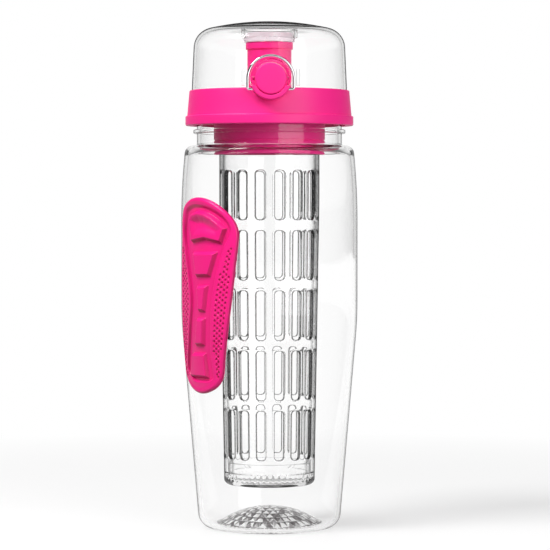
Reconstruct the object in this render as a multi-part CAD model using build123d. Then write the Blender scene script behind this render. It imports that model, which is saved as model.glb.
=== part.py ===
import os
from math import cos, pi, radians, sin, tan

from build123d import *

# Millimetres. Z is up from the table, the front of the bottle faces -Y.

# Bottle: a wide-mouthed clear vessel, its domed base welded to the body.
BODY_RADIUS = 44.0
HEEL_RADIUS = 35.05
SHOULDER_RADIUS = 42.0
WIDEST_FROM = 104.7
LEAN_FROM = 169.0
SHOULDER_HEIGHT = 190.6
SHOULDER_RISE = 0.7
BODY_WALL = 2.0
HEEL_ROUND = 8.0
TAPER_ROUND = 210.0
LEAN_ROUND = 340.0
SHOULDER_ROUND = 4.0
NECK_ROOT_ROUND = 0.8
NECK_RADIUS = 36.15
NECK_HEIGHT = 22.2
BEAD_RADIUS = 37.9
BEAD_DROP = 16.5
BEAD_HEIGHT = 2.0
FOOT_INNER_RADIUS = 25.5
PUSH_UP = 9.0
PUSH_UP_ROUND = 40.0
PUSH_UP_SHARE = 0.56
WELD_HEIGHT = 30.0

# Side grip: a soft panel bonded to the left of the front.
GRIP_AZIMUTH = -51.0
GRIP_BOND = 0.3
GRIP_THICKNESS = 1.3
GRIP_CHANNEL_DEPTH = 0.6
GRIP_PAD_RISE = 0.8
GRIP_HALF_WIDTH = 20.0
GRIP_BOTTOM = 69.0
GRIP_HEIGHT = 96.0

# Lid: screw collar, deck, plug skirt and spout in one moulding.
GASKET_THICKNESS = 1.5
GASKET_WIDTH = 3.0
DECK_THICKNESS = 2.0
RIM_HEIGHT = 1.5
COLLAR_HEIGHT = 17.5
COLLAR_TOP_RADIUS = 39.9
COLLAR_LOW_RADIUS = 41.1
COLLAR_BORE_RADIUS = 38.0
FLANGE_RADIUS = 41.9
FLANGE_HEIGHT = 4.75
SKIRT_RADIUS = 27.75
SKIRT_DEPTH = 27.5
STOP_THICKNESS = 1.8
SPOUT_RADIUS = 11.0
SPOUT_WALL = 1.8
SPOUT_HEIGHT = 25.5
SPOUT_LIP = 0.75
SPOUT_LIP_HEIGHT = 3.6
LID_EDGE_ROUND = 0.5

# Flip cover: a clear dome hinged at the back of the collar.
COVER_FOOT_RADIUS = 38.8
COVER_TOP_RADIUS = 37.4
COVER_HEIGHT = 35.8
COVER_WALL = 1.6
COVER_ROUND = 10.0
CROWN_ROUND = 135.0
CROWN_FALL = 11.75
SOCKET_RADIUS = 14.0
SOCKET_WALL = 1.6
SEAL_RADIUS = 13.0
SEAL_THICKNESS = 2.5
SEAL_PLUG_HEIGHT = 3.0

# Release button, its ring on the collar, its back plate and spring.
BUTTON_RADIUS = 7.6
BUTTON_THICKNESS = 4.6
BUTTON_FACE_WALL = 1.4
BUTTON_TRAVEL = 2.5
BUTTON_RISE = 3.9
RING_RADIUS = 10.2
RING_REACH = 45.6
RING_TOP_RISE = 0.5
PLATE_RADIUS = 6.5
PLATE_THICKNESS = 1.8
STEM_RADIUS = 1.5
STEM_HEAD = 0.7
STEM_HEAD_THICKNESS = 1.2
TAB_REACH = 1.2
TAB_HEIGHT = 1.4
TAB_THICKNESS = 1.0
BUTTON_SPRING_RADIUS = 3.0
BUTTON_SPRING_WIRE = 0.6
BUTTON_SPRING_TURNS = 4

# Clear latch arch of the cover, round the upper half of the button.
ARCH_SETBACK = 2.7
LIP_WIDTH = 1.0
LIP_RISE = 1.0
LIP_HALF_ANGLE = 40.0
GUARD_OFFSET = 12.6
GUARD_WIDTH = 1.5
GUARD_SETBACK = 1.3
GUARD_HEIGHT = 8.0

# Lock bail of round wire, hinged in the sides of the ring.
BAIL_WIRE = 1.3
BAIL_SIDES = 12
BAIL_PIVOT_DROP = 5.0
BAIL_GRIP = 1.4

# Rear hinge of the cover.
HINGE_REACH = 43.5
HINGE_RISE = 0.0
KNUCKLE_RADIUS = 3.0
PIN_RADIUS = 1.25
EAR_OUTER = 11.5
EAR_WIDTH = 3.0
KNUCKLE_INNER = 3.4
COVER_SPRING_RADIUS = 2.2
COVER_SPRING_WIRE = 0.8
COVER_SPRING_TURNS = 4
COVER_SPRING_PITCH = 1.25

# Infuser basket and its end cap.
BASKET_TOP_RADIUS = 25.0
BASKET_LOW_RADIUS = 22.6
BASKET_WALL = 1.8
BASKET_TAPER_FROM = 164.0
BASKET_THREAD = 14.0
BASKET_BOTTOM = 28.2
SLOT_WIDTH = 5.0
SLOT_LENGTH = 24.2
SLOT_CHAMFER = 1.4
SLOT_PITCH = 29.65
SLOT_ROWS = 5
SLOTS_ROUND = 16
FIRST_SLOT_DROP = 23.0
CAP_DEPTH = 6.2
CAP_FLOOR = 1.8
CAP_ROUND = 3.0
CAP_PLUG = 5.0
CAP_WALL = 1.6

# Fits and working allowances.
FLAT_UNDER = 1.0
ARC_HANDLE = 4 / 3
COIL_SIDES = 6
FIT = 0.3
SHAFT_FIT = 0.05
OVERRUN = 1.0
SEAM = 0.001

# Outline of the grip, seen square on, as shares of its half width and height.
GRIP_OUTLINE_SHARES = [
    (0.01, 0.0), (0.30, 0.017), (0.54, 0.045), (0.70, 0.094), (0.765, 0.177),
    (0.85, 0.286), (0.945, 0.406), (1.04, 0.552), (1.11, 0.677), (1.175, 0.781),
    (1.17, 0.833), (1.06, 0.885), (0.805, 0.9375), (0.465, 0.979), (0.10, 1.0),
    (-0.20, 1.0), (-0.475, 0.982), (-0.68, 0.948), (-0.765, 0.885),
    (-0.77, 0.802), (-0.79, 0.677), (-0.80, 0.552), (-0.79, 0.406),
    (-0.81, 0.281), (-0.83, 0.177), (-0.79, 0.094), (-0.60, 0.0375), (-0.30, 0.006),
]
GRIP_CHANNEL_SHARES = [
    (0.0, 0.060), (0.30, 0.066), (0.48, 0.088), (0.43, 0.146), (0.395, 0.219),
    (0.41, 0.281), (0.44, 0.375), (0.47, 0.458), (0.525, 0.531), (0.645, 0.635),
    (0.82, 0.740), (0.955, 0.802), (1.02, 0.844), (0.975, 0.875), (0.87, 0.901),
    (0.66, 0.935), (0.365, 0.964), (0.01, 0.976), (-0.275, 0.972), (-0.50, 0.948),
    (-0.62, 0.896), (-0.62, 0.800), (-0.50, 0.690), (-0.34, 0.560), (-0.29, 0.458),
    (-0.34, 0.385), (-0.47, 0.260), (-0.58, 0.177), (-0.60, 0.115), (-0.36, 0.066),
]
GRIP_PAD_SHARES = [
    [(-0.40, 0.890), (-0.275, 0.922), (0.0, 0.936), (0.25, 0.930), (0.475, 0.910),
     (0.70, 0.878), (0.89, 0.848), (0.735, 0.766), (0.25, 0.785), (-0.275, 0.768)],
    [(-0.225, 0.724), (0.625, 0.726), (0.405, 0.598), (-0.10, 0.596)],
    [(-0.07, 0.552), (0.34, 0.557), (0.24, 0.418), (-0.015, 0.420)],
    [(-0.07, 0.388), (0.25, 0.389), (0.18, 0.246), (-0.19, 0.243)],
    [(-0.335, 0.208), (0.21, 0.210), (0.265, 0.076), (-0.525, 0.076)],
]

# Heights and places that follow from the sizes above.
NECK_ROOT = SHOULDER_HEIGHT + SHOULDER_RISE
NECK_TOP = NECK_ROOT + NECK_HEIGHT
DECK_UNDER = NECK_TOP + GASKET_THICKNESS
DECK_TOP = DECK_UNDER + DECK_THICKNESS
RIM_TOP = DECK_TOP + RIM_HEIGHT
COLLAR_FOOT = RIM_TOP - COLLAR_HEIGHT
SKIRT_FOOT = DECK_UNDER - SKIRT_DEPTH
SPOUT_TOP = DECK_TOP + SPOUT_HEIGHT
COVER_TOP = DECK_TOP + COVER_HEIGHT
BUTTON_HEIGHT = RIM_TOP + BUTTON_RISE
BUTTON_BORE = BUTTON_RADIUS + FIT
ARCH_BORE = BUTTON_RADIUS + FIT + FIT
BUTTON_BACK = RING_REACH - BUTTON_THICKNESS
PLATE_FRONT = BUTTON_BACK - BUTTON_TRAVEL - SHAFT_FIT - SHAFT_FIT
PLATE_BACK = PLATE_FRONT - PLATE_THICKNESS
HINGE_HEIGHT = DECK_TOP + HINGE_RISE
ARCH_REACH = RING_REACH - ARCH_SETBACK
GUARD_REACH = ARCH_REACH - GUARD_SETBACK
BAIL_RADIUS = RING_RADIUS + FIT + BAIL_WIRE / 2
BAIL_REACH = ARCH_REACH + FIT + BAIL_WIRE / 2
BAIL_PIVOT_HEIGHT = BUTTON_HEIGHT - BAIL_PIVOT_DROP
BAIL_FOOT = BAIL_PIVOT_HEIGHT - BAIL_WIRE / 2
BASKET_TOP = SKIRT_FOOT + BASKET_THREAD
CAP_BOTTOM = BASKET_BOTTOM - CAP_DEPTH


def corner_edge(start, corner, end, rounding):
    """Curve that rounds a corner, or a flat chamfer where it is small."""
    if rounding < FLAT_UNDER:
        return Edge.make_line(start, end)
    turn = pi - radians((start - corner).get_angle(end - corner))
    reach = ARC_HANDLE * tan(turn / 4) / tan(turn / 2)
    leave = start + (corner - start) * reach
    arrive = end + (corner - end) * reach
    return Edge.make_bezier(start, leave, arrive, end)


def outline(corners):
    """Closed face in the XZ plane from (radius, height, rounding) corners."""
    points = [Vector(x, 0, z) for x, z, _ in corners]
    count = len(points)
    wanted = []
    for i, point in enumerate(points):
        back = points[i - 1] - point
        onward = points[(i + 1) % count] - point
        turn = pi - radians(back.get_angle(onward))
        wanted.append(corners[i][2] * tan(turn / 2))
    edges = []
    starts = []
    ends = []
    for i, point in enumerate(points):
        back = points[i - 1] - point
        onward = points[(i + 1) % count] - point
        reach = wanted[i]
        if reach > 0:
            before = wanted[i - 1] + reach
            after = wanted[(i + 1) % count] + reach
            reach *= min(1, back.length / before, onward.length / after)
        starts.append(point + back.normalized() * reach)
        ends.append(point + onward.normalized() * reach)
    for i in range(count):
        if (starts[i] - ends[i]).length > SEAM:
            edges.append(corner_edge(starts[i], points[i], ends[i], corners[i][2]))
        following = (i + 1) % count
        if (ends[i] - starts[following]).length > SEAM:
            edges.append(Edge.make_line(ends[i], starts[following]))
    return Face(Wire(edges))


def turned(corners):
    """Solid of revolution about Z."""
    return revolve(outline(corners), Axis.Z)


def rod(radius, start, end, across=(0, 0)):
    """Cylinder along Y from start to end, centred on (x, z)."""
    x, z = across
    plane = Plane(origin=(x, start, z), x_dir=(1, 0, 0), z_dir=(0, 1, 0))
    return extrude(plane * Circle(radius), end - start)


def cross_rod(radius, start, end, y, z):
    """Cylinder along X from start to end, centred on (y, z)."""
    plane = Plane(origin=(start, y, z), x_dir=(0, 1, 0), z_dir=(1, 0, 0))
    return extrude(plane * Circle(radius), end - start)


def block(x, y, z):
    """Box given by its three (low, high) pairs."""
    size = (x[1] - x[0], y[1] - y[0], z[1] - z[0])
    middle = ((x[0] + x[1]) / 2, (y[0] + y[1]) / 2, (z[0] + z[1]) / 2)
    return Pos(*middle) * Box(*size)


def body_corners(inset):
    """Side of the bottle from heel to shoulder, moved in by inset."""
    return [
        (HEEL_RADIUS - inset, inset, max(HEEL_ROUND - inset, 0)),
        (BODY_RADIUS - inset, WIDEST_FROM, TAPER_ROUND),
        (BODY_RADIUS - inset, LEAN_FROM, LEAN_ROUND),
        (SHOULDER_RADIUS - inset, SHOULDER_HEIGHT - inset, SHOULDER_ROUND),
    ]


def body_radius(height):
    """Outside radius of the straight lines of the side at a height."""
    if height < WIDEST_FROM:
        slope = (BODY_RADIUS - HEEL_RADIUS) / WIDEST_FROM
        return HEEL_RADIUS + slope * height
    if height < LEAN_FROM:
        return BODY_RADIUS
    slope = (BODY_RADIUS - SHOULDER_RADIUS) / (SHOULDER_HEIGHT - LEAN_FROM)
    return BODY_RADIUS - slope * (height - LEAN_FROM)


def bottle_vessel():
    """Body and base of the bottle in one."""
    dome_corner = FOOT_INNER_RADIUS * PUSH_UP_SHARE
    bead_foot = NECK_TOP - BEAD_DROP
    outside = [(0, PUSH_UP, 0), (dome_corner, PUSH_UP, PUSH_UP_ROUND)]
    outside += [(FOOT_INNER_RADIUS, 0, 0)] + body_corners(0)
    outside += [
        (NECK_RADIUS, NECK_ROOT, NECK_ROOT_ROUND),
        (NECK_RADIUS, bead_foot, 0),
        (BEAD_RADIUS, bead_foot, 0),
        (BEAD_RADIUS, bead_foot + BEAD_HEIGHT, 0),
        (NECK_RADIUS, bead_foot + BEAD_HEIGHT, 0),
        (NECK_RADIUS, NECK_TOP, 0),
        (0, NECK_TOP, 0),
    ]
    mouth = NECK_RADIUS - BODY_WALL
    inside = [
        (0, PUSH_UP + BODY_WALL, 0),
        (dome_corner, PUSH_UP + BODY_WALL, PUSH_UP_ROUND + BODY_WALL),
        (FOOT_INNER_RADIUS + BODY_WALL / 2, BODY_WALL, 0),
    ]
    inside += body_corners(BODY_WALL)
    inside += [
        (mouth, NECK_ROOT - BODY_WALL, NECK_ROOT_ROUND),
        (mouth, NECK_TOP + OVERRUN, 0),
        (0, NECK_TOP + OVERRUN, 0),
    ]
    return turned(outside) - turned(inside)


def round_slab(low, high):
    """Disc wider than the bottle between two heights."""
    widest = max(HEEL_RADIUS, BODY_RADIUS, SHOULDER_RADIUS, BEAD_RADIUS)
    face = Circle(widest + OVERRUN)
    return Pos(0, 0, low) * extrude(face, high - low)


def make_bottle_body():
    return bottle_vessel() & round_slab(WELD_HEIGHT, NECK_TOP + OVERRUN)


def make_bottle_base():
    return bottle_vessel() & round_slab(-OVERRUN, WELD_HEIGHT)


def grip_plane(reach):
    """Upright plane that faces the grip from outside, at a reach from Z."""
    angle = radians(GRIP_AZIMUTH)
    out = (sin(angle), -cos(angle), 0)
    origin = (out[0] * reach, out[1] * reach, GRIP_BOTTOM)
    return Plane(origin=origin, x_dir=(cos(angle), sin(angle), 0), z_dir=out)


def grip_points(shares):
    """Turn a table of shares into points on the grip's plane."""
    return [(u * GRIP_HALF_WIDTH, z * GRIP_HEIGHT) for u, z in shares]


def grip_prism(face):
    """Run a face on the grip's plane through the side wall."""
    reach = BODY_RADIUS + GRIP_THICKNESS + OVERRUN
    return extrude(grip_plane(reach) * face, -reach)


def side_shell(inner, outer):
    """Skin round the side of the bottle between two offsets from it."""
    foot = body_radius(0)
    low = [
        (foot + inner, 0, 0),
        (foot + outer, 0, 0),
        (BODY_RADIUS + outer, WIDEST_FROM, TAPER_ROUND),
        (BODY_RADIUS + outer, LEAN_FROM, 0),
        (BODY_RADIUS + inner, LEAN_FROM, 0),
        (BODY_RADIUS + inner, WIDEST_FROM, TAPER_ROUND),
    ]
    return turned(low)


def make_side_grip():
    inner = GRIP_BOND
    outer = GRIP_BOND + GRIP_THICKNESS
    floor = outer - GRIP_CHANNEL_DEPTH
    edge = make_face(Spline(*grip_points(GRIP_OUTLINE_SHARES), periodic=True))
    channel = make_face(Spline(*grip_points(GRIP_CHANNEL_SHARES), periodic=True))
    grip = side_shell(inner, outer) & grip_prism(edge)
    grip -= side_shell(floor, outer + OVERRUN) & grip_prism(channel)
    raised = side_shell(floor - GRIP_CHANNEL_DEPTH, floor + GRIP_PAD_RISE)
    for shares in GRIP_PAD_SHARES:
        pad = make_face(Polyline(*grip_points(shares), close=True))
        grip += raised & grip_prism(pad)
    return grip


def make_lid_gasket():
    middle = NECK_RADIUS - BODY_WALL / 2
    ring = Circle(middle + GASKET_WIDTH / 2) - Circle(middle - GASKET_WIDTH / 2)
    return Pos(0, 0, NECK_TOP) * extrude(ring, GASKET_THICKNESS)


def collar_shell():
    spout_bore = SPOUT_RADIUS - SPOUT_WALL
    seat = COVER_FOOT_RADIUS + FIT
    flange_top = COLLAR_FOOT + FLANGE_HEIGHT
    corners = [
        (COLLAR_BORE_RADIUS, COLLAR_FOOT, 0),
        (FLANGE_RADIUS, COLLAR_FOOT, LID_EDGE_ROUND),
        (FLANGE_RADIUS, flange_top, LID_EDGE_ROUND),
        (COLLAR_LOW_RADIUS, flange_top, 0),
        (COLLAR_TOP_RADIUS, RIM_TOP, LID_EDGE_ROUND),
        (seat, RIM_TOP, 0),
        (seat, DECK_TOP, 0),
        (spout_bore, DECK_TOP, 0),
        (spout_bore, DECK_UNDER, 0),
        (COLLAR_BORE_RADIUS, DECK_UNDER, 0),
    ]
    return turned(corners)


def button_ring():
    """Half ring on the front of the collar that carries button and bail."""
    ring_top = RIM_TOP + RING_TOP_RISE
    ring = rod(RING_RADIUS, -RING_REACH, -COLLAR_BORE_RADIUS, (0, BUTTON_HEIGHT))
    lowest = BUTTON_HEIGHT - RING_RADIUS - OVERRUN
    keep = block(
        (-RING_RADIUS, RING_RADIUS), (-RING_REACH, -COLLAR_BORE_RADIUS), (lowest, ring_top)
    )
    return ring & keep


def back_plate():
    """Upright plate behind the button, which guides its stem."""
    plate = rod(PLATE_RADIUS, -PLATE_FRONT, -PLATE_BACK, (0, BUTTON_HEIGHT))
    foot = block(
        (-PLATE_RADIUS, PLATE_RADIUS),
        (-PLATE_FRONT, -PLATE_BACK),
        (DECK_UNDER, BUTTON_HEIGHT),
    )
    return plate + foot


def collar_ears():
    """Two ears at the back of the collar that hold the hinge pin."""
    ears = []
    inner = EAR_OUTER - EAR_WIDTH
    for low, high in ((inner, EAR_OUTER), (-EAR_OUTER, -inner)):
        ear = cross_rod(KNUCKLE_RADIUS, low, high, HINGE_REACH, HINGE_HEIGHT)
        arm = block(
            (low, high),
            (COLLAR_BORE_RADIUS, HINGE_REACH),
            (HINGE_HEIGHT - KNUCKLE_RADIUS, RIM_TOP),
        )
        ears += [ear, arm]
    return ears


def make_lid_collar():
    ring_top = RIM_TOP + RING_TOP_RISE
    lid = collar_shell() + button_ring()
    lid -= rod(BUTTON_BORE, -RING_REACH - OVERRUN, -PLATE_FRONT, (0, BUTTON_HEIGHT))
    lid += back_plate()
    lid += collar_ears()
    lid -= cross_rod(
        PIN_RADIUS + SHAFT_FIT,
        -EAR_OUTER - OVERRUN,
        EAR_OUTER + OVERRUN,
        HINGE_REACH,
        HINGE_HEIGHT,
    )
    lid -= rod(
        STEM_RADIUS + SHAFT_FIT,
        -PLATE_FRONT - OVERRUN,
        -PLATE_BACK + OVERRUN,
        (0, BUTTON_HEIGHT),
    )
    for low, high in bail_pins(SHAFT_FIT):
        lid -= cross_rod(
            BAIL_WIRE / 2 + SHAFT_FIT, low, high, -BAIL_REACH, BAIL_PIVOT_HEIGHT
        )
    lid -= block(
        (-EAR_OUTER + EAR_WIDTH - FIT, EAR_OUTER - EAR_WIDTH + FIT),
        (HINGE_REACH - KNUCKLE_RADIUS - FIT, HINGE_REACH + KNUCKLE_RADIUS),
        (HINGE_HEIGHT - KNUCKLE_RADIUS - FIT, ring_top),
    )
    return lid


def make_drink_spout():
    """Tube with a lip that stands on the deck."""
    bore = SPOUT_RADIUS - SPOUT_WALL
    lip = SPOUT_RADIUS + SPOUT_LIP
    lip_foot = SPOUT_TOP - SPOUT_LIP_HEIGHT
    return turned(
        [
            (bore, DECK_TOP, 0),
            (SPOUT_RADIUS, DECK_TOP, 0),
            (SPOUT_RADIUS, lip_foot, 0),
            (lip, lip_foot, LID_EDGE_ROUND),
            (lip, SPOUT_TOP, LID_EDGE_ROUND),
            (bore, SPOUT_TOP, 0),
        ]
    )


def make_plug_sleeve():
    """Tube under the deck that plugs the neck and holds the infuser."""
    bore = BASKET_TOP_RADIUS + FIT
    stop = BASKET_TOP_RADIUS - BASKET_WALL
    stop_top = BASKET_TOP + STOP_THICKNESS
    return turned(
        [
            (bore, SKIRT_FOOT, 0),
            (SKIRT_RADIUS, SKIRT_FOOT, LID_EDGE_ROUND),
            (SKIRT_RADIUS, DECK_UNDER, 0),
            (bore, DECK_UNDER, 0),
            (bore, stop_top, 0),
            (stop, stop_top, 0),
            (stop, BASKET_TOP, 0),
            (bore, BASKET_TOP, 0),
        ]
    )


def bail_pins(extra):
    """X ranges of the two wire ends that sit in the ring's sides."""
    side = (RING_RADIUS**2 - BAIL_PIVOT_DROP**2) ** 0.5
    tip = side - BAIL_GRIP - extra
    return ((tip, BAIL_RADIUS), (-BAIL_RADIUS, -tip))


def cover_edge_height(inset):
    """Height where the crown's fall line meets the side of the cover."""
    crown_corner = CROWN_ROUND * tan(radians(CROWN_FALL) / 2)
    run = COVER_TOP_RADIUS - inset - crown_corner
    return COVER_TOP - inset - run * tan(radians(CROWN_FALL))


def cover_dome(inset, foot):
    crown_corner = CROWN_ROUND * tan(radians(CROWN_FALL) / 2)
    return turned(
        [
            (0, foot, 0),
            (COVER_FOOT_RADIUS - inset, foot, 0),
            (COVER_TOP_RADIUS - inset, cover_edge_height(inset), COVER_ROUND - inset),
            (crown_corner, COVER_TOP - inset, CROWN_ROUND - inset),
            (0, COVER_TOP - inset, 0),
        ]
    )


def latch_arch():
    """Half ring of the cover round the button, with its lip for the bail."""
    foot = RIM_TOP + RING_TOP_RISE + FIT
    centre = (0, BUTTON_HEIGHT)
    back = COVER_FOOT_RADIUS - COVER_WALL - COVER_WALL
    arch = rod(RING_RADIUS, -ARCH_REACH, -back, centre)
    lip = rod(RING_RADIUS, -ARCH_REACH - LIP_RISE, -ARCH_REACH, centre)
    lip -= rod(RING_RADIUS - LIP_WIDTH, -ARCH_REACH - LIP_RISE, -ARCH_REACH, centre)
    lip_foot = BUTTON_HEIGHT + RING_RADIUS * cos(radians(LIP_HALF_ANGLE))
    top = BUTTON_HEIGHT + RING_RADIUS
    lip &= block(
        (-RING_RADIUS, RING_RADIUS),
        (-ARCH_REACH - LIP_RISE, -ARCH_REACH),
        (lip_foot, top),
    )
    arch &= block((-RING_RADIUS, RING_RADIUS), (-ARCH_REACH, -back), (foot, top))
    return arch + lip


def button_way():
    """Space that the button needs through the cover's front."""
    deep = COVER_FOOT_RADIUS - COVER_WALL - COVER_WALL - OVERRUN
    way = rod(ARCH_BORE, -RING_REACH, -deep, (0, BUTTON_HEIGHT))
    return way + block(
        (-ARCH_BORE, ARCH_BORE), (-RING_REACH, -deep), (DECK_TOP - OVERRUN, BUTTON_HEIGHT)
    )


def tab_ways():
    """Slots in the arch for the button's tabs, and the ways out of them."""
    reach = BUTTON_RADIUS + TAB_REACH + FIT
    front = BUTTON_BACK + TAB_THICKNESS + FIT
    back = BUTTON_BACK - BUTTON_TRAVEL - FIT
    release = front - BUTTON_TRAVEL
    half = TAB_HEIGHT / 2 + FIT
    low = DECK_TOP
    ways = []
    for side in (-1, 1):
        x = sorted((0, side * reach))
        ways.append(block(x, (-front, -back), (BUTTON_HEIGHT - half, BUTTON_HEIGHT + half)))
        ways.append(block(x, (-release, -back), (low, BUTTON_HEIGHT)))
    return ways


def guard_ribs():
    """Two upright ribs beside the arch that keep the bail from knocks."""
    foot = RIM_TOP + RING_TOP_RISE + FIT
    inside = COVER_FOOT_RADIUS - COVER_WALL - COVER_WALL - COVER_WALL
    ribs = []
    for side in (-1, 1):
        x = sorted((side * GUARD_OFFSET, side * (GUARD_OFFSET + GUARD_WIDTH)))
        ribs.append(block(x, (-GUARD_REACH, -inside), (foot, foot + GUARD_HEIGHT)))
    return ribs


def cover_knuckles():
    """Two knuckles on the pin and the arms that join them to the cover."""
    parts = []
    outer = EAR_OUTER - EAR_WIDTH - FIT
    arm_foot = RIM_TOP + FIT
    arm_top = HINGE_HEIGHT + KNUCKLE_RADIUS
    inside = COVER_FOOT_RADIUS - COVER_WALL - COVER_WALL
    for low, high in ((KNUCKLE_INNER, outer), (-outer, -KNUCKLE_INNER)):
        parts.append(cross_rod(KNUCKLE_RADIUS, low, high, HINGE_REACH, HINGE_HEIGHT))
        parts.append(block((low, high), (inside, HINGE_REACH), (arm_foot, arm_top)))
    return parts


def make_flip_cover():
    cover = cover_dome(0, DECK_TOP) + latch_arch() + guard_ribs() + cover_knuckles()
    cover -= cover_dome(COVER_WALL, DECK_TOP - OVERRUN)
    cover -= button_way()
    cover -= tab_ways()
    socket_foot = SPOUT_TOP + SEAL_THICKNESS
    tube = Circle(SOCKET_RADIUS) - Circle(SOCKET_RADIUS - SOCKET_WALL)
    height = COVER_TOP - COVER_WALL - socket_foot
    cover += Pos(0, 0, socket_foot) * extrude(tube, height)
    cover -= cross_rod(
        PIN_RADIUS + SHAFT_FIT, -EAR_OUTER, EAR_OUTER, HINGE_REACH, HINGE_HEIGHT
    )
    return cover


def make_cover_seal():
    plug_radius = SOCKET_RADIUS - SOCKET_WALL - FIT
    seal_top = SPOUT_TOP + SEAL_THICKNESS
    return turned(
        [
            (0, SPOUT_TOP, 0),
            (SEAL_RADIUS, SPOUT_TOP, LID_EDGE_ROUND),
            (SEAL_RADIUS, seal_top, LID_EDGE_ROUND),
            (plug_radius, seal_top, 0),
            (plug_radius, seal_top + SEAL_PLUG_HEIGHT, LID_EDGE_ROUND),
            (0, seal_top + SEAL_PLUG_HEIGHT, 0),
        ]
    )


def make_release_button():
    centre = (0, BUTTON_HEIGHT)
    well = BUTTON_SPRING_RADIUS + BUTTON_SPRING_WIRE / 2 + FIT
    well_floor = RING_REACH - BUTTON_FACE_WALL
    stem_end = PLATE_BACK - SHAFT_FIT - STEM_HEAD_THICKNESS
    button = rod(BUTTON_RADIUS, -RING_REACH, -BUTTON_BACK, centre)
    button -= rod(well, -well_floor, -BUTTON_BACK, centre)
    button += rod(STEM_RADIUS, -well_floor, -stem_end, centre)
    head = STEM_RADIUS + STEM_HEAD
    button += rod(head, -stem_end - STEM_HEAD_THICKNESS, -stem_end, centre)
    reach = BUTTON_RADIUS + TAB_REACH
    root = BUTTON_RADIUS - TAB_REACH
    half = TAB_HEIGHT / 2
    for side in (-1, 1):
        x = sorted((side * root, side * reach))
        button += block(
            x,
            (-BUTTON_BACK - TAB_THICKNESS, -BUTTON_BACK),
            (BUTTON_HEIGHT - half, BUTTON_HEIGHT + half),
        )
    return button


def coil(radius, wire, pitch, turns):
    """Wire wound along Z, its axis on Z, starting at height zero."""
    path = Edge.make_helix(pitch, pitch * turns, radius)
    start = Plane(origin=path @ 0, z_dir=path % 0)
    return sweep(start * RegularPolygon(wire / 2, COIL_SIDES), path)


def make_button_spring():
    length = RING_REACH - BUTTON_FACE_WALL - PLATE_FRONT - FIT
    pitch = (length - BUTTON_SPRING_WIRE) / BUTTON_SPRING_TURNS
    print("button_spring self gap", round(pitch - BUTTON_SPRING_WIRE, 3))
    spring = coil(BUTTON_SPRING_RADIUS, BUTTON_SPRING_WIRE, pitch, BUTTON_SPRING_TURNS)
    start = -PLATE_FRONT - FIT / 2 - BUTTON_SPRING_WIRE / 2
    place = Plane(origin=(0, start, BUTTON_HEIGHT), x_dir=(1, 0, 0), z_dir=(0, -1, 0))
    return place.location * spring


def make_lock_bail():
    right, left = BAIL_RADIUS, -BAIL_RADIUS
    leg = Edge.make_line(
        (right, -BAIL_REACH, BAIL_FOOT), (right, -BAIL_REACH, BUTTON_HEIGHT)
    )
    arch = Edge.make_three_point_arc(
        (right, -BAIL_REACH, BUTTON_HEIGHT),
        (0, -BAIL_REACH, BUTTON_HEIGHT + BAIL_RADIUS),
        (left, -BAIL_REACH, BUTTON_HEIGHT),
    )
    other = Edge.make_line(
        (left, -BAIL_REACH, BUTTON_HEIGHT), (left, -BAIL_REACH, BAIL_FOOT)
    )
    start = Plane(origin=leg @ 0, z_dir=(0, 0, 1))
    section = RegularPolygon(BAIL_WIRE / 2, BAIL_SIDES)
    bail = sweep(start * section, Wire([leg, arch, other]))
    for low, high in bail_pins(0):
        bail += cross_rod(BAIL_WIRE / 2, low, high, -BAIL_REACH, BAIL_PIVOT_HEIGHT)
    return bail


def make_hinge_pin():
    return cross_rod(PIN_RADIUS, -EAR_OUTER, EAR_OUTER, HINGE_REACH, HINGE_HEIGHT)


def make_cover_spring():
    gap = COVER_SPRING_PITCH - COVER_SPRING_WIRE
    print("cover_spring self gap", round(gap, 3))
    width = COVER_SPRING_PITCH * COVER_SPRING_TURNS
    spring = coil(
        COVER_SPRING_RADIUS, COVER_SPRING_WIRE, COVER_SPRING_PITCH, COVER_SPRING_TURNS
    )
    place = Plane(
        origin=(-width / 2, HINGE_REACH, HINGE_HEIGHT), x_dir=(0, 0, 1), z_dir=(1, 0, 0)
    )
    return place.location * spring


def basket_radius(height):
    """Outside radius of the basket at a height."""
    if height > BASKET_TAPER_FROM:
        return BASKET_TOP_RADIUS
    run = (height - CAP_BOTTOM) / (BASKET_TAPER_FROM - CAP_BOTTOM)
    return BASKET_LOW_RADIUS + run * (BASKET_TOP_RADIUS - BASKET_LOW_RADIUS)


def slot_cutter():
    plane = Plane(
        origin=(0, -BASKET_LOW_RADIUS / 2, 0), x_dir=(1, 0, 0), z_dir=(0, -1, 0)
    )
    slot = Rectangle(SLOT_WIDTH, SLOT_LENGTH)
    face = chamfer(slot.vertices(), SLOT_CHAMFER)
    return extrude(plane * face, BASKET_TOP_RADIUS)


def make_infuser_basket():
    low = basket_radius(BASKET_BOTTOM)
    top = BASKET_TOP_RADIUS
    basket = turned(
        [
            (low - BASKET_WALL, BASKET_BOTTOM, 0),
            (low, BASKET_BOTTOM, 0),
            (top, BASKET_TAPER_FROM, 0),
            (top, BASKET_TOP, 0),
            (top - BASKET_WALL, BASKET_TOP, 0),
            (top - BASKET_WALL, BASKET_TAPER_FROM, 0),
        ]
    )
    first = BASKET_TOP - FIRST_SLOT_DROP - SLOT_LENGTH / 2
    cutter = slot_cutter()
    cutters = []
    for row in range(SLOT_ROWS):
        for turn in range(SLOTS_ROUND):
            angle = 360 * turn / SLOTS_ROUND
            cutters.append(Rot(0, 0, angle) * Pos(0, 0, first - row * SLOT_PITCH) * cutter)
    return basket - cutters


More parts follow.
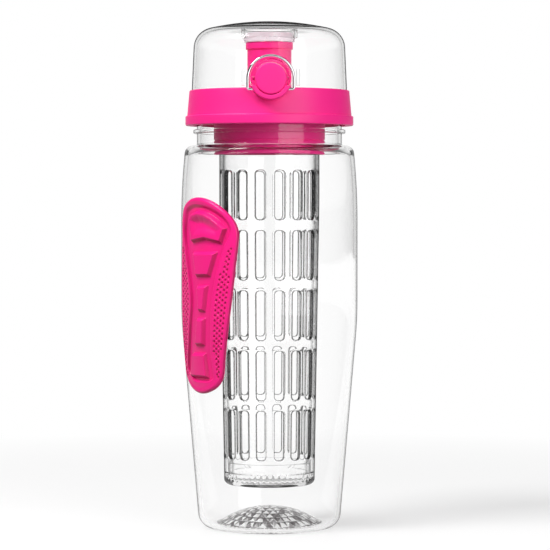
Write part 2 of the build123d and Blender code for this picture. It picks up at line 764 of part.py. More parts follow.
def make_infuser_end_cap():
    outer = basket_radius(BASKET_BOTTOM)
    plug = outer - BASKET_WALL - FIT
    plug_top = BASKET_BOTTOM + CAP_PLUG
    floor = CAP_BOTTOM + CAP_FLOOR
    return turned(
        [
            (0, CAP_BOTTOM, 0),
            (outer, CAP_BOTTOM, CAP_ROUND),
            (outer, BASKET_BOTTOM, 0),
            (plug, BASKET_BOTTOM, 0),
            (plug, plug_top, 0),
            (plug - CAP_WALL, plug_top, 0),
            (plug - CAP_WALL, floor, CAP_ROUND - CAP_WALL),
            (0, floor, 0),
        ]
    )


PIECES = {
    "bottle_body": make_bottle_body,
    "bottle_base": make_bottle_base,
    "side_grip": make_side_grip,
    "lid_gasket": make_lid_gasket,
    "lid_collar": make_lid_collar,
    "drink_spout": make_drink_spout,
    "plug_sleeve": make_plug_sleeve,
    "flip_cover": make_flip_cover,
    "cover_seal": make_cover_seal,
    "release_button": make_release_button,
    "button_spring": make_button_spring,
    "lock_bail": make_lock_bail,
    "hinge_pin": make_hinge_pin,
    "cover_spring": make_cover_spring,
    "infuser_basket": make_infuser_basket,
    "infuser_end_cap": make_infuser_end_cap,
}

os.makedirs("parts", exist_ok=True)
for name, make in PIECES.items():
    export_step(make(), f"parts/{name}.step")
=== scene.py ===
from math import atan2, ceil, copysign, cos, degrees, floor, pi, radians, sin, tan

import bmesh
import bpy
import numpy as np
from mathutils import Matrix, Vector


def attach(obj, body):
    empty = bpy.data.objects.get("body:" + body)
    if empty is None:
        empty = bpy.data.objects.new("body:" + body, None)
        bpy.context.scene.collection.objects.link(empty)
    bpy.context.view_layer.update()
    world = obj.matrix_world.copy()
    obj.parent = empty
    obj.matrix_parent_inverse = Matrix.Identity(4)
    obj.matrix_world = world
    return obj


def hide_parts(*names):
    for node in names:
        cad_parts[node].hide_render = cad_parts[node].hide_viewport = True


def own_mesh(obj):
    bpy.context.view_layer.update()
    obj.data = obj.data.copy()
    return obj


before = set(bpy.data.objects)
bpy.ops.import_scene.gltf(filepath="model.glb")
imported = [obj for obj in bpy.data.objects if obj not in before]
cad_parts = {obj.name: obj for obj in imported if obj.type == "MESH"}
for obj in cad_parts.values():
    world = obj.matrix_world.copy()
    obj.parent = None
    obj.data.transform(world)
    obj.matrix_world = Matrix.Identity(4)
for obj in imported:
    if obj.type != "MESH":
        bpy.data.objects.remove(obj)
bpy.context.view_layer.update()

scene = bpy.context.scene
# Lengths are in millimetres until they reach a mesh.
MM = 0.001

# Bottle body, its bead and the thread on its neck.
BODY_RADIUS = 44
HEEL_RADIUS = 35.05
SHOULDER_RADIUS = 42
WIDEST_FROM = 104.7
LEAN_FROM = 169
SHOULDER_HEIGHT = 190.6
BODY_WALL = 2
HEEL_ROUND = 8
TAPER_ROUND = 210
LEAN_ROUND = 340
SHOULDER_ROUND = 4
NECK_ROOT = 191.3
NECK_ROOT_ROUND = 0.8
NECK_RADIUS = 36.15
NECK_TOP = 213.5
MOUTH_ROUND = 0.4
BEAD_RADIUS = 37.9
BEAD_FOOT = 197
BEAD_TOP = 199
BEAD_ROUND = 0.5
THREAD_FOOT = 202.6
THREAD_PITCH = 4.2
THREAD_TURNS = (0.06, 1.9)
THREAD_RISE = 1.3
THREAD_HALF_WIDTH = 1.15
THREAD_STEP = 0.35

# Domed base and its cut-glass facets, with the painted dark shares of a facet's sides.
FOOT_INNER_RADIUS = 25.5
PUSH_UP = 9
PUSH_UP_ROUND = 40
DOME_CORNER = 14.28
FACET_PITCH = 3.9
FACET_WIDTH = 3.3
FACET_DEPTH = 1.25
FACET_RIM = 0.6
FACET_FOOT = 0.25
# Painted shade on the facets stands in for dark surroundings seen in the cut glass.
PAINTED_FACET_SHARES = (0.0, 0.75, 0.1, 0.0, 0.45, 0.0, 0.9)

# Lid.
COLLAR_FOOT = 201
COLLAR_BORE = 38
COLLAR_LOW_RADIUS = 41.02
COLLAR_TOP_RADIUS = 39.9
FLANGE_RADIUS = 41.9
FLANGE_TOP = 205.75
COVER_SEAT = 39.1
DECK_UNDER = 215
DECK_TOP = 217
RIM_TOP = 218.5
SPOUT_RADIUS = 11
SPOUT_BORE = 9.2
SPOUT_TOP = 242.5
SPOUT_LIP_RADIUS = 11.75
SPOUT_LIP_FOOT = 238.9
SKIRT_RADIUS = 27.75
SKIRT_BORE = 25.3
SKIRT_FOOT = 187.5
GROOVE_RADIUS = 27.35
GROOVE_FOOT = 193.1
GROOVE_TOP = 194
GROOVE_BEVEL = 0.25
STOP_RADIUS = 23.2
STOP_TOP = 203.3

# Button with its ring, back plate and spring. REACH is a distance in front of the bottle's axis.
BUTTON_HEIGHT = 222.4
BUTTON_RADIUS = 7.6
BUTTON_BORE = 7.9
BUTTON_BACK_REACH = 41
BUTTON_INSIDE_REACH = 44.2
BUTTON_TRAVEL = 2.5
WELL_RADIUS = 3.6
STEM_RADIUS = 1.5
STEM_BORE = 1.55
STEM_HEAD_RADIUS = 2.2
STEM_HEAD_REACH = 36.5
STEM_END_REACH = 35.35
TAB_SPAN = (6.4, 8.8)
TAB_REACH = 42
TAB_HEIGHT = 1.4
RING_RADIUS = 10.2
RING_REACH = 45.6
RING_ROOT_REACH = 37.6
RING_TOP = 219
PLATE_RADIUS = 6.5
PLATE_FRONT = 38.4
PLATE_BACK = 36.6
SPRING_RADIUS = 3
SPRING_WIRE = 0.6
SPRING_TURNS = 4
SPRING_INSET = 0.35

# Cover and its seal, and the hair of room under what rests on the lid.
ROOM = 0.04
COVER_TOP = 252.8
COVER_FOOT_RADIUS = 38.8
COVER_TOP_RADIUS = 37.4
COVER_WALL = 1.6
COVER_ROUND = 10
CROWN_ROUND = 135
CROWN_FALL = radians(11.75)
SOCKET_RADIUS = 14
SOCKET_BORE = 12.4
SEAL_FACE_RADIUS = 12.6
SEAL_RADIUS = 13
SEAL_TOP = 245
SEAL_PLUG_RADIUS = 12.1
SEAL_PLUG_TOP = 248

# Latch arch of the cover, its lip for the bail and the ribs beside it.
ARCH_BORE = 8.2
ARCH_REACH = 42.9
ARCH_ROOT_REACH = 35.6
ARCH_FOOT = 219.3
ARCH_ROUND = 0.9
LIP_BORE = 9.2
LIP_REACH = 43.9
LIP_ROOT_REACH = 42.5
LIP_FOOT = 230.2
RIB_SPAN = (12.6, 14.1)
RIB_REACH = 41.6
RIB_ROOT_REACH = 35
RIB_HEIGHT = 8
TAB_WAY = 9.1
TAB_ROOM = 0.3

# Hinge and bail.
HINGE_REACH = 43.5
HINGE_HEIGHT = 217
HINGE_BORE = 1.3
KNUCKLE_RADIUS = 3
KNUCKLE_SPAN = (3.4, 8.2)
ARM_ROOT_REACH = 36.5
EAR_SPAN = (8.5, 11.5)
EAR_ROOT_REACH = 39.5
BAIL_RADIUS = 11.15
BAIL_REACH = 43.85
BAIL_PIVOT = 217.4
BAIL_LEG_TOP = 220.9
BAIL_WIRE = 1.3
BAIL_BEND = 0.8
BAIL_TIP = 7.55
BAIL_HOLE = 0.7
BAIL_HOLE_END = 7.4

# Infuser and its cap.
BASKET_TOP = 201.5
BASKET_BOTTOM = 28.2
BASKET_TOP_RADIUS = 25
BASKET_LOW_RADIUS = 22.6
BASKET_TAPER_FROM = 164
BASKET_WALL = 1.8
TOP_EDGE = 0.3
FOOT_EDGE = 0.2
PLAIN_RINGS = (188, 195)
SLOT_ROWS = 5
SLOTS_ROUND = 16
SLOT_PITCH = 29.65
FIRST_SLOT = 166.4
SLOT_HALF_WIDTH = 2.5
SLOT_HALF_LENGTH = 12.1
SLOT_ROUND = 1.9
SLOT_STRAIGHT = SLOT_HALF_LENGTH - SLOT_ROUND
SLOT_EDGE = 0.4
CAP_BOTTOM = 22
CAP_ROUND = 3
CAP_FLOOR = 1.8
CAP_FIT = 0.3
CAP_PLUG = 5
CAP_PLUG_WALL = 1.6
CAP_FLUTES = 48
CAP_FLUTE_DEPTH = 0.35

# Allowances: an overrun, the space of cutters round the ring, and a hair.
OVERRUN = 1
CUT_X = (-12, 12)
CUT_Y = (-50, -30)
CUT_FLOOR = 200
CUT_CEILING = 240
HAIR = 0.01
TINY = 1e-5


# Shapes.


def pairs(items, closed):
    """Each item with the one after it."""
    return zip(items, items[1:] + (items[:1] if closed else []))


def rounded(corners, step, longest, closed=False):
    """Points along a line with rounded (r, z, rounding) corners."""
    points = [Vector(c[:2]) for c in corners]
    bends = []
    for i, point in enumerate(points):
        back = points[i - 1] - point
        onward = points[(i + 1) % len(points)] - point
        turn = pi - back.angle(onward)
        is_end = not closed and i in (0, len(points) - 1)
        bends.append((back, onward, turn, 0 if is_end else corners[i][2] * tan(turn / 2)))
    line = []
    for i, (back, onward, turn, reach) in enumerate(bends):
        if reach <= 0:
            line.append(points[i].copy())
            continue
        before = bends[i - 1][3] + reach
        after = bends[(i + 1) % len(bends)][3] + reach
        reach *= min(1, back.length / before, onward.length / after)
        radius = reach / tan(turn / 2)
        start = points[i] + back.normalized() * reach
        end = points[i] + onward.normalized() * reach
        middle = (back.normalized() + onward.normalized()).normalized()
        centre = points[i] + middle * (radius / cos(turn / 2))
        pieces = max(2, ceil(degrees(turn) / step), ceil(radius * turn / longest))
        for k in range(pieces + 1):
            a = sin((1 - k / pieces) * turn) / sin(turn)
            b = sin(k / pieces * turn) / sin(turn)
            line.append(centre + (start - centre) * a + (end - centre) * b)
    return split(line, longest, closed)


def split(line, longest, closed):
    """Add points where two neighbours are further apart than longest."""
    line = [Vector(point) for point in line]
    out = []
    for point, following in pairs(line, closed):
        gap = (following - point).length
        if gap > TINY:
            pieces = ceil(gap / longest)
            out += [tuple(point.lerp(following, k / pieces)) for k in range(pieces)]
    return out if closed else out + [tuple(line[-1])]


def turned(line, count, shape=None):
    """Vertices and faces of a line of (r, z) turned about Z, open if it starts on the axis.

    Angles run from the front, -Y, towards +X.
    """
    verts, faces, rings = [], [], []
    for r, z in line:
        if r < TINY:
            rings.append([len(verts)])
            verts.append((0, 0, z))
            continue
        ring = []
        for k in range(count):
            angle = 2 * pi * k / count
            rr, zz = shape(r, z, angle) if shape else (r, z)
            ring.append(len(verts))
            verts.append((rr * sin(angle), -rr * cos(angle), zz))
        rings.append(ring)
    for low, high in pairs(rings, len(rings[0]) > 1):
        for k in range(count):
            m = (k + 1) % count
            around = [low[k % len(low)], low[m % len(low)]]
            around += [high[m % len(high)], high[k % len(high)]]
            faces.append(tuple(dict.fromkeys(around)))
    return verts, faces


def forward(shape):
    """Stand a turned shape on the button's axis, its Z towards the front."""
    verts, faces = shape
    return [(x, -z, BUTTON_HEIGHT + y) for x, y, z in verts], faces


def cross(shape, y, z):
    """Lay a turned shape along X through (y, z)."""
    verts, faces = shape
    return [(h, y + a, z + b) for a, b, h in verts], faces


def block(x, y, z):
    """Box given by its three (low, high) pairs."""
    verts = [(a, b, c) for a in x for b in y for c in z]
    faces = [(0, 1, 3, 2), (4, 6, 7, 5), (0, 4, 5, 1), (2, 3, 7, 6), (0, 2, 6, 4), (1, 5, 7, 3)]
    return verts, faces


def both_sides(low, high):
    """A range of X and its mirror image, right side last."""
    return (-high, -low), (low, high)


def rod(radius, low, high, edge=0, count=96):
    """Closed cylinder about Z from low to high with rounded edges."""
    corners = [(0, low, 0), (radius, low, edge), (radius, high, edge), (0, high, 0)]
    return turned(rounded(corners, 15, 50), count)


def tube(points, radius, sides):
    """Closed round wire through points."""
    points = [Vector(p) for p in points]
    rings = []
    side = (points[1] - points[0]).normalized().orthogonal().normalized()
    for i, point in enumerate(points):
        ahead = points[min(i + 1, len(points) - 1)] - points[max(i - 1, 0)]
        ahead.normalize()
        side = (side - ahead * side.dot(ahead)).normalized()
        other = ahead.cross(side)
        angles = [2 * pi * k / sides for k in range(sides)]
        rings.append([tuple(point + (side * cos(a) + other * sin(a)) * radius) for a in angles])
    verts, faces = stitched(rings)
    ends = tuple(reversed(range(sides))), tuple(range(len(verts) - sides, len(verts)))
    return verts, faces + list(ends)


def joined(*shapes):
    verts, faces = [], []
    for more, loops in shapes:
        start = len(verts)
        verts += list(more)
        faces += [tuple(start + i for i in loop) for loop in loops]
    return verts, faces


def stitched(rings):
    """Shape of closed rings of points, each joined to the next."""
    verts = [point for ring in rings for point in ring]
    count = len(rings[0])
    faces = []
    for low in range(len(verts) - count):
        low_next = low + 1 if (low + 1) % count else low + 1 - count
        faces.append((low, low_next, low_next + count, low + count))
    return verts, faces


def weld(mesh, gap):
    """Join points that lie closer than a gap in metres, and turn the faces outwards."""
    made = bmesh.new()
    made.from_mesh(mesh)
    bmesh.ops.remove_doubles(made, verts=made.verts, dist=gap)
    bmesh.ops.recalc_face_normals(made, faces=made.faces)
    made.to_mesh(mesh)
    made.free()


def new_object(name, data):
    obj = bpy.data.objects.new(name, data)
    scene.collection.objects.link(obj)
    return obj


def thing(name, shape):
    """New object from a shape."""
    verts, faces = shape
    mesh = bpy.data.meshes.new(name)
    mesh.from_pydata([(x * MM, y * MM, z * MM) for x, y, z in verts], [], faces)
    weld(mesh, 1e-7)
    return new_object(name, mesh)


def mark(obj, name, values):
    """Store one number for each vertex."""
    layer = obj.data.attributes.new(name, "FLOAT", "POINT")
    layer.data.foreach_set("value", np.array(values, np.float32))


def mark_inner(obj, height):
    """Mark the vertices whose faces look towards the axis, or towards its point at a height."""
    values = []
    for vertex in obj.data.vertices:
        out = Vector(vertex.co)
        out.z = max(0, out.z - height * MM)
        values.append(vertex.normal.dot(out) < 0)
    mark(obj, "inner", values)


def combine(obj, shapes, how):
    """Unite an object with shapes, or cut them out of it."""
    helpers = []
    for shape in shapes:
        helper = thing("helper", shape)
        helpers.append(helper)
        modifier = obj.modifiers.new("combine", "BOOLEAN")
        modifier.operation = how
        modifier.solver = "EXACT"
        modifier.object = helper
    bpy.context.view_layer.update()
    ready = obj.evaluated_get(bpy.context.evaluated_depsgraph_get())
    mesh = bpy.data.meshes.new_from_object(ready)
    obj.modifiers.clear()
    obj.data = mesh
    for helper in helpers:
        bpy.data.objects.remove(helper)


def cut(shape, *cutters):
    """A shape with others cut out of it."""
    obj = thing("cutting", shape)
    combine(obj, cutters, "DIFFERENCE")
    verts = [tuple(v.co / MM) for v in obj.data.vertices]
    faces = [tuple(p.vertices) for p in obj.data.polygons]
    bpy.data.objects.remove(obj)
    return verts, faces


def finish(obj, body, material, nodes, sharp=32):
    """Give a piece its material, smooth faces and body, and hide the CAD nodes it stands for."""
    obj.data.materials.clear()
    obj.data.materials.append(material)
    for face in obj.data.polygons:
        face.use_smooth = True
    obj.data.set_sharp_from_angle(angle=radians(sharp))
    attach(obj, body)
    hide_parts(*nodes)


# Materials.


def new_material(name):
    material = bpy.data.materials.new(name)
    material.use_nodes = True
    return material, material.node_tree, material.node_tree.nodes["Principled BSDF"]


def feed(tree, node, inputs):
    """Set a node's inputs, or link those whose value is the output of another node."""
    for name, value in inputs.items():
        if isinstance(value, bpy.types.NodeSocket):
            tree.links.new(value, node.inputs[name])
        else:
            node.inputs[name].default_value = value


def add_node(tree, kind, inputs=None):
    made = tree.nodes.new("ShaderNode" + kind)
    feed(tree, made, inputs or {})
    return made


def noise(tree, scale, detail=3.0, rough=0.5):
    place = add_node(tree, "TexCoord").outputs["Object"]
    inputs = {"Scale": scale, "Detail": detail, "Roughness": rough, "Vector": place}
    return add_node(tree, "TexNoise", inputs).outputs["Fac"]


def span(tree, value, low, high, start=0.3, end=0.7):
    """Map a value from start..end to low..high."""
    inputs = {"Value": value, "From Min": start, "From Max": end, "To Min": low, "To Max": high}
    return add_node(tree, "MapRange", inputs).outputs["Result"]


def maths(tree, how, one, two):
    """One step of arithmetic on numbers or sockets."""
    made = add_node(tree, "Math", {0: one, 1: two})
    made.operation = how
    return made.outputs[0]


def marked(tree, name):
    """The number that mark stored for each vertex."""
    made = add_node(tree, "Attribute")
    made.attribute_name = name
    return made.outputs["Fac"]


def blend(tree, share, one, two):
    made = add_node(tree, "Mix")
    made.data_type = "RGBA"
    feed(tree, made, {"Factor": share, 6: (*one, 1), 7: (*two, 1)})
    return made.outputs[2]


def mixed(tree, share, one, two):
    """Mix two shaders."""
    return add_node(tree, "MixShader", {0: share, 1: one, 2: two}).outputs[0]


def see_through(tree, colour):
    return add_node(tree, "BsdfTransparent", {"Color": (*colour, 1)}).outputs[0]


def relief(tree, shader, height, distance, strength):
    bump = {"Distance": distance, "Strength": strength, "Height": height}
    feed(tree, shader, {"Normal": add_node(tree, "Bump", bump).outputs["Normal"]})


def clear_plastic(name, edge, lines, losses, ior, shine):
    """Clear moulded plastic with painted dark lines where it is seen edge on.

    lines is (share, start, end), and losses is what faces that look up and down lose of it. The
    marks "line" and "inner" add lines and take them away. Lamplight passes straight through.
    """
    material, tree, shader = new_material(name)
    feed(tree, shader, {
        "Base Color": (1, 1, 1, 1),
        "Transmission Weight": 1,
        "IOR": ior,
        "Specular IOR Level": shine,
        "Roughness": span(tree, noise(tree, 900), 0, 0.03),
    })
    relief(tree, shader, noise(tree, 60, 2), 0.00004, 0.25)
    # Painted shade: a dark see-through mix where the plastic is seen edge on stands in for dark
    # surroundings seen through it.
    share = painted_line_share(tree, lines, losses)
    lined = mixed(tree, share, shader.outputs[0], see_through(tree, edge))
    path = add_node(tree, "LightPath").outputs
    bounced = maths(tree, "GREATER_THAN", path["Diffuse Depth"], 0.5)
    unseen = maths(tree, "MAXIMUM", path["Is Shadow Ray"], bounced)
    surface = mixed(tree, unseen, lined, see_through(tree, (0.93, 0.93, 0.93)))
    feed(tree, tree.nodes["Material Output"], {"Surface": surface})
    return material


def painted_line_share(tree, lines, losses):
    """Socket with the share of clear plastic's painted dark lines."""
    edge_on = add_node(tree, "LayerWeight", {"Blend": 0.5}).outputs["Facing"]
    normal = add_node(tree, "NewGeometry").outputs["Normal"]
    up = add_node(tree, "SeparateXYZ", {0: normal}).outputs["Z"]
    for way, loss in zip((1, -1), losses):
        looks = maths(tree, "MAXIMUM", maths(tree, "MULTIPLY", up, way), 0)
        lost = maths(tree, "MULTIPLY", looks, loss)
        edge_on = maths(tree, "SUBTRACT", edge_on, lost)
    share, start, end = lines
    share = span(tree, edge_on, 0, share, start, end)
    hidden = maths(tree, "MULTIPLY", marked(tree, "inner"), share)
    share = maths(tree, "SUBTRACT", share, hidden)
    return maths(tree, "MAXIMUM", share, marked(tree, "line"))


def moulded(name, colour, deep, roughness, grain, depth, shine):
    """Solid moulded plastic with a fine surface grain, darkened for painted shade where it is
    marked.
    """
    material, tree, shader = new_material(name)
    # Painted shade: faces marked "shade" are multiplied by a darker tone.
    tone = blend(tree, marked(tree, "shade"), (1, 1, 1), PAINTED_SHADE_TONE)
    tinted = add_node(tree, "Mix")
    tinted.data_type = "RGBA"
    tinted.blend_type = "MULTIPLY"
    feed(tree, tinted, {"Factor": 1, 6: blend(tree, noise(tree, 45, 4), colour, deep), 7: tone})
    fine = noise(tree, grain, 5, 0.6)
    feed(tree, shader, {
        "Base Color": tinted.outputs[2],
        "Roughness": span(tree, fine, *roughness),
        "Specular IOR Level": shine,
    })
    relief(tree, shader, fine, depth, 0.4)
    return material


def metal(name, colour, roughness):
    material, tree, shader = new_material(name)
    streak = noise(tree, 350, 4)
    feed(tree, shader, {
        "Metallic": 1,
        "Base Color": blend(tree, streak, colour, tuple(c * 0.8 for c in colour)),
        "Roughness": span(tree, streak, *roughness),
    })
    relief(tree, shader, streak, 0.00001, 0.3)
    return material


def soft_rubber(name, colour, deep):
    """Milky silicone."""
    material, tree, shader = new_material(name)
    cloud = noise(tree, 120, 3)
    feed(tree, shader, {
        "Base Color": blend(tree, cloud, colour, deep),
        "Roughness": span(tree, cloud, 0.24, 0.38),
        "Transmission Weight": 0.85,
        "IOR": 1.41,
    })
    relief(tree, shader, cloud, 0.00005, 0.3)
    return material


# Tone of the painted shade on the grip's faces that look down or towards the bottle's front.
PAINTED_SHADE_TONE = (0.48, 0.2, 0.42)
# Edge colours of the painted dark lines, which stand in for dark surroundings seen through the
# plastic.
CLEAR_BODY = clear_plastic(
    "clear_body_plastic", (0.10, 0.085, 0.09), (0.8, 0.74, 0.93), (0.15, 0.15), 1.26, 0.4
)
CLEAR_COVER = clear_plastic(
    "clear_cover_plastic", (0.01, 0.008, 0.01), (0.97, 0.78, 0.9), (0.0, 0.6), 1.22, 0.6
)
CLEAR_INFUSER = clear_plastic(
    "clear_infuser_plastic", (0.04, 0.04, 0.04), (0.9, 0.6, 0.86), (0.15, 0.15), 1.36, 0.25
)
PINK = moulded(
    "pink_gloss_plastic", (0.97, 0.016, 0.27), (0.95, 0.012, 0.245), (0.42, 0.52), 1400, 0.00002, 0.4
)
GRIP_PINK = moulded(
    "pink_soft_grip", (0.97, 0.013, 0.25), (0.95, 0.010, 0.225), (0.27, 0.36), 2200, 0.00003, 0.3
)
SILICONE = soft_rubber("milky_silicone", (0.96, 0.88, 0.92), (0.92, 0.80, 0.86))
STEEL = metal("polished_steel", (0.66, 0.66, 0.68), (0.06, 0.16))
SPRING = metal("spring_steel_wire", (0.48, 0.48, 0.50), (0.2, 0.34))


# Bottle body.


def side_corners(inset):
    """Side of the bottle from heel to shoulder, moved in by inset."""
    return [
        (HEEL_RADIUS - inset, inset, max(HEEL_ROUND - inset, 0)),
        (BODY_RADIUS - inset, WIDEST_FROM, TAPER_ROUND),
        (BODY_RADIUS - inset, LEAN_FROM, LEAN_ROUND),
        (SHOULDER_RADIUS - inset, SHOULDER_HEIGHT - inset, SHOULDER_ROUND),
    ]


WALL = [(0, 0, 0), *side_corners(0), (NECK_RADIUS, NECK_ROOT, 0)]
WALL_LINE = rounded(WALL, 4, 4)


def wall_radius(height):
    """Outside radius of the bottle's side."""
    radii, heights = zip(*WALL_LINE)
    return np.interp(height, heights, radii)


def body_shape(r, z, angle):
    """Thread on the neck and cut-glass facets under the dome."""
    on_neck = abs(r - NECK_RADIUS) < HAIR
    if on_neck and z > BEAD_TOP + 0.2:
        begin, end = THREAD_TURNS
        for turn in (0, 1):
            wound = angle / (2 * pi) + turn
            middle = THREAD_FOOT + THREAD_PITCH * wound
            ends = min(1, max(0, 12 * min(wound - begin, end - wound)))
            r += THREAD_RISE * ends * max(0, 1 - (abs(z - middle) / THREAD_HALF_WIDTH) ** 2)
    if z < PUSH_UP + 0.05 and under_dome(r, z, 0.6):
        across, along = facet_place(r, angle)[:2]
        z += FACET_DEPTH * (1 - 2 * max(abs(across), abs(along)))
    return r, z


def under_dome(r, z, over):
    """Whether a point is inside the foot and at most so far over the plain underside."""
    return r <= FOOT_INNER_RADIUS - FACET_RIM and FACET_FOOT <= z < dome_height(r) + over


def facet_place(r, angle):
    """Place in a facet, outwards and around, from -0.5 to 0.5, and the number of the facet."""
    ring = floor(r / FACET_PITCH)
    round_it = max(6, round(2 * pi * (ring + 0.5) * FACET_PITCH / FACET_WIDTH))
    across = (r / FACET_PITCH) % 1 - 0.5
    turn = (round_it * angle / (2 * pi) + 0.5 * (ring % 2)) % round_it
    return across, turn % 1 - 0.5, 5 * ring + 3 * floor(turn)


def painted_facet_shade(vertex):
    """Painted dark share of a point under the dome, by the side of its facet."""
    x, y, z = vertex.co / MM
    r = (x * x + y * y) ** 0.5
    if not under_dome(r, z, FACET_DEPTH + 0.1):
        return 0.0
    across, along, facet = facet_place(r, atan2(x, -y))
    side = (across > 0) if abs(across) > abs(along) else 2 + (along > 0)
    return PAINTED_FACET_SHARES[(facet + 2 * side) % len(PAINTED_FACET_SHARES)]


def dome_height(r):
    """Height of the pushed-up base's underside."""
    radii, heights = zip(*DOME_LINE)
    return np.interp(r, radii, heights)


DOME = [(0, PUSH_UP, 0), (DOME_CORNER, PUSH_UP, PUSH_UP_ROUND), (FOOT_INNER_RADIUS, 0, 0)]
DOME_LINE = rounded(DOME, 3, 0.43)


def bottle_line():
    """Section from the middle of the underside, round the mouth, to the middle inside."""
    side = [(FOOT_INNER_RADIUS, 0, 0)] + side_corners(0)
    side += [(NECK_RADIUS, NECK_ROOT, NECK_ROOT_ROUND), (NECK_RADIUS, BEAD_FOOT, 0)]
    bead = [
        (NECK_RADIUS, BEAD_FOOT, 0),
        (BEAD_RADIUS, BEAD_FOOT, BEAD_ROUND),
        (BEAD_RADIUS, BEAD_TOP, BEAD_ROUND),
        (NECK_RADIUS, BEAD_TOP, 0),
    ]
    neck = [(NECK_RADIUS, BEAD_TOP), (NECK_RADIUS, NECK_TOP - MOUTH_ROUND)]
    mouth = NECK_RADIUS - BODY_WALL
    inside = [
        (NECK_RADIUS - MOUTH_ROUND, NECK_TOP, 0),
        (mouth, NECK_TOP, MOUTH_ROUND),
        (mouth, NECK_ROOT - BODY_WALL, NECK_ROOT_ROUND),
    ]
    inside += reversed(side_corners(BODY_WALL))
    inside += [
        (FOOT_INNER_RADIUS + BODY_WALL / 2, BODY_WALL, 0),
        (DOME_CORNER, PUSH_UP + BODY_WALL, PUSH_UP_ROUND + BODY_WALL),
        (0, PUSH_UP + BODY_WALL, 0),
    ]
    line = DOME_LINE[:-1] + rounded(side, 6, 4)[:-1]
    line += rounded(bead, 20, 2)[:-1]
    line += split(neck, THREAD_STEP, closed=False)
    return line + rounded(inside, 6, 4)


def make_body():
    obj = thing("clear_bottle", turned(bottle_line(), 360, body_shape))
    mark_inner(obj, 500)
    # Painted shade on the facets under the dome.
    mark(obj, "line", [painted_facet_shade(v) for v in obj.data.vertices])
    finish(obj, "bottle", CLEAR_BODY, ["bottle_body", "bottle_base"])


# Grip, seen square on: distance from its middle line and height.

GRIP_AZIMUTH = radians(-51)
GRIP_RIM = 1.95
GRIP_FLOOR = 0.75
GRIP_ROLL = 1.1
GRIP_LEAST = 0.35
PAD_CREST = 2.6
PAD_BEVEL = 1.4
DIMPLE_PITCH = 2.5
DIMPLE_REACH = (0.72, 0.95)
DIMPLE_DEPTH = 0.95
DIMPLES_FROM = 77.5
DIMPLE_ROWS = 51
STRIP_ENDS = (76, 141.5)
LOOP_STEPS = 8
GRIP_EDGE = [
    (0, 69), (6, 70.6), (10.8, 73.3), (14, 78), (15.3, 86), (17, 96.5),
    (18.9, 108), (20.8, 122), (22.2, 134), (23.5, 144), (23.4, 149), (21.2, 154),
    (16.1, 159), (9.3, 163), (2, 165), (-4, 165), (-9.5, 163.3), (-13.6, 160),
    (-15.3, 154), (-15.4, 146), (-15.8, 134), (-16, 122), (-15.8, 108),
    (-16.2, 96), (-16.6, 86), (-15.8, 78), (-12, 72.6), (-6, 69.6),
]
GRIP_CORNERS = (2, 13, 16, 26)
GRIP_WELL = [
    (0, 74.6), (5.6, 75), (9, 77.4), (8.6, 83), (7.9, 90), (8.2, 96),
    (8.8, 104.7), (9.4, 113.3), (10.5, 120), (12.9, 130), (16.4, 140.4),
    (19.1, 145.8), (20, 150.2), (17.4, 155), (13.2, 158.3), (7.3, 161),
    (0.2, 162.2), (-5.5, 161.8), (-10.4, 159.6), (-12.4, 154.5), (-12.4, 146),
    (-9.9, 135.5), (-6.7, 122.8), (-5.8, 113), (-6.8, 106), (-9.6, 93.5),
    (-11.8, 86), (-12.1, 80), (-7.2, 75.3),
]
GRIP_PADS = [
    [(-8, 154.5), (-5.5, 157.6), (0, 158.9), (5, 158.2), (9.5, 156.3), (13.8, 153.4),
     (17.6, 150.2), (14.7, 142.5), (5, 144.4), (-5.5, 142.8)],
    [(-4.5, 138.6), (12.5, 138.8), (8.1, 126.4), (-2.0, 126.2)],
    [(-1.4, 122.0), (6.8, 122.5), (4.8, 109.1), (-0.3, 109.3)],
    [(-1.4, 106.3), (5.0, 106.4), (3.6, 92.6), (-3.8, 92.3)],
    [(-6.7, 89.0), (4.2, 89.2), (5.3, 76.6), (-10.5, 76.6)],
]


def smooth_loop(points):
    """Closed smooth line through points, in LOOP_STEPS steps from each to the next."""
    out = []
    for i in range(len(points)):
        a, b, c, d = (np.array(points[(i + k - 1) % len(points)], float) for k in range(4))
        for k in range(LOOP_STEPS):
            t = k / LOOP_STEPS
            bend = (2 * a - 5 * b + 4 * c - d) * t**2 + (3 * b - a - 3 * c + d) * t**3
            out.append(0.5 * (2 * b + (c - a) * t + bend))
    return np.array(out)


def depth_inside(u, z, loop):
    """Distance to a closed line of straight pieces, positive inside it."""
    nearest = np.full(u.shape, 1e9)
    inside = np.zeros(u.shape, bool)
    for i in range(len(loop)):
        (ax, ay), (bx, by) = loop[i - 1], loop[i]
        dx, dy = bx - ax, by - ay
        share = np.clip(((u - ax) * dx + (z - ay) * dy) / (dx * dx + dy * dy + 1e-12), 0, 1)
        nearest = np.minimum(nearest, np.hypot(u - ax - share * dx, z - ay - share * dy))
        crosses = (ay > z) != (by > z)
        inside ^= crosses & (u < ax + dx * (z - ay) / (dy or 1))
    return np.where(inside, nearest, -nearest)


def ease(value, low, high):
    """Smooth step from 0 at low to 1 at high."""
    share = np.clip((value - low) / (high - low), 0, 1)
    return share * share * (3 - 2 * share)


def side_at(loop, height, right):
    """Where a closed line crosses a height, on one side."""
    hits = []
    for i in range(len(loop)):
        (ax, ay), (bx, by) = loop[i - 1], loop[i]
        if (ay > height) != (by > height):
            hits.append(ax + (bx - ax) * (height - ay) / (by - ay))
    if not hits:
        return 0.0
    return max(hits) if right else min(hits)


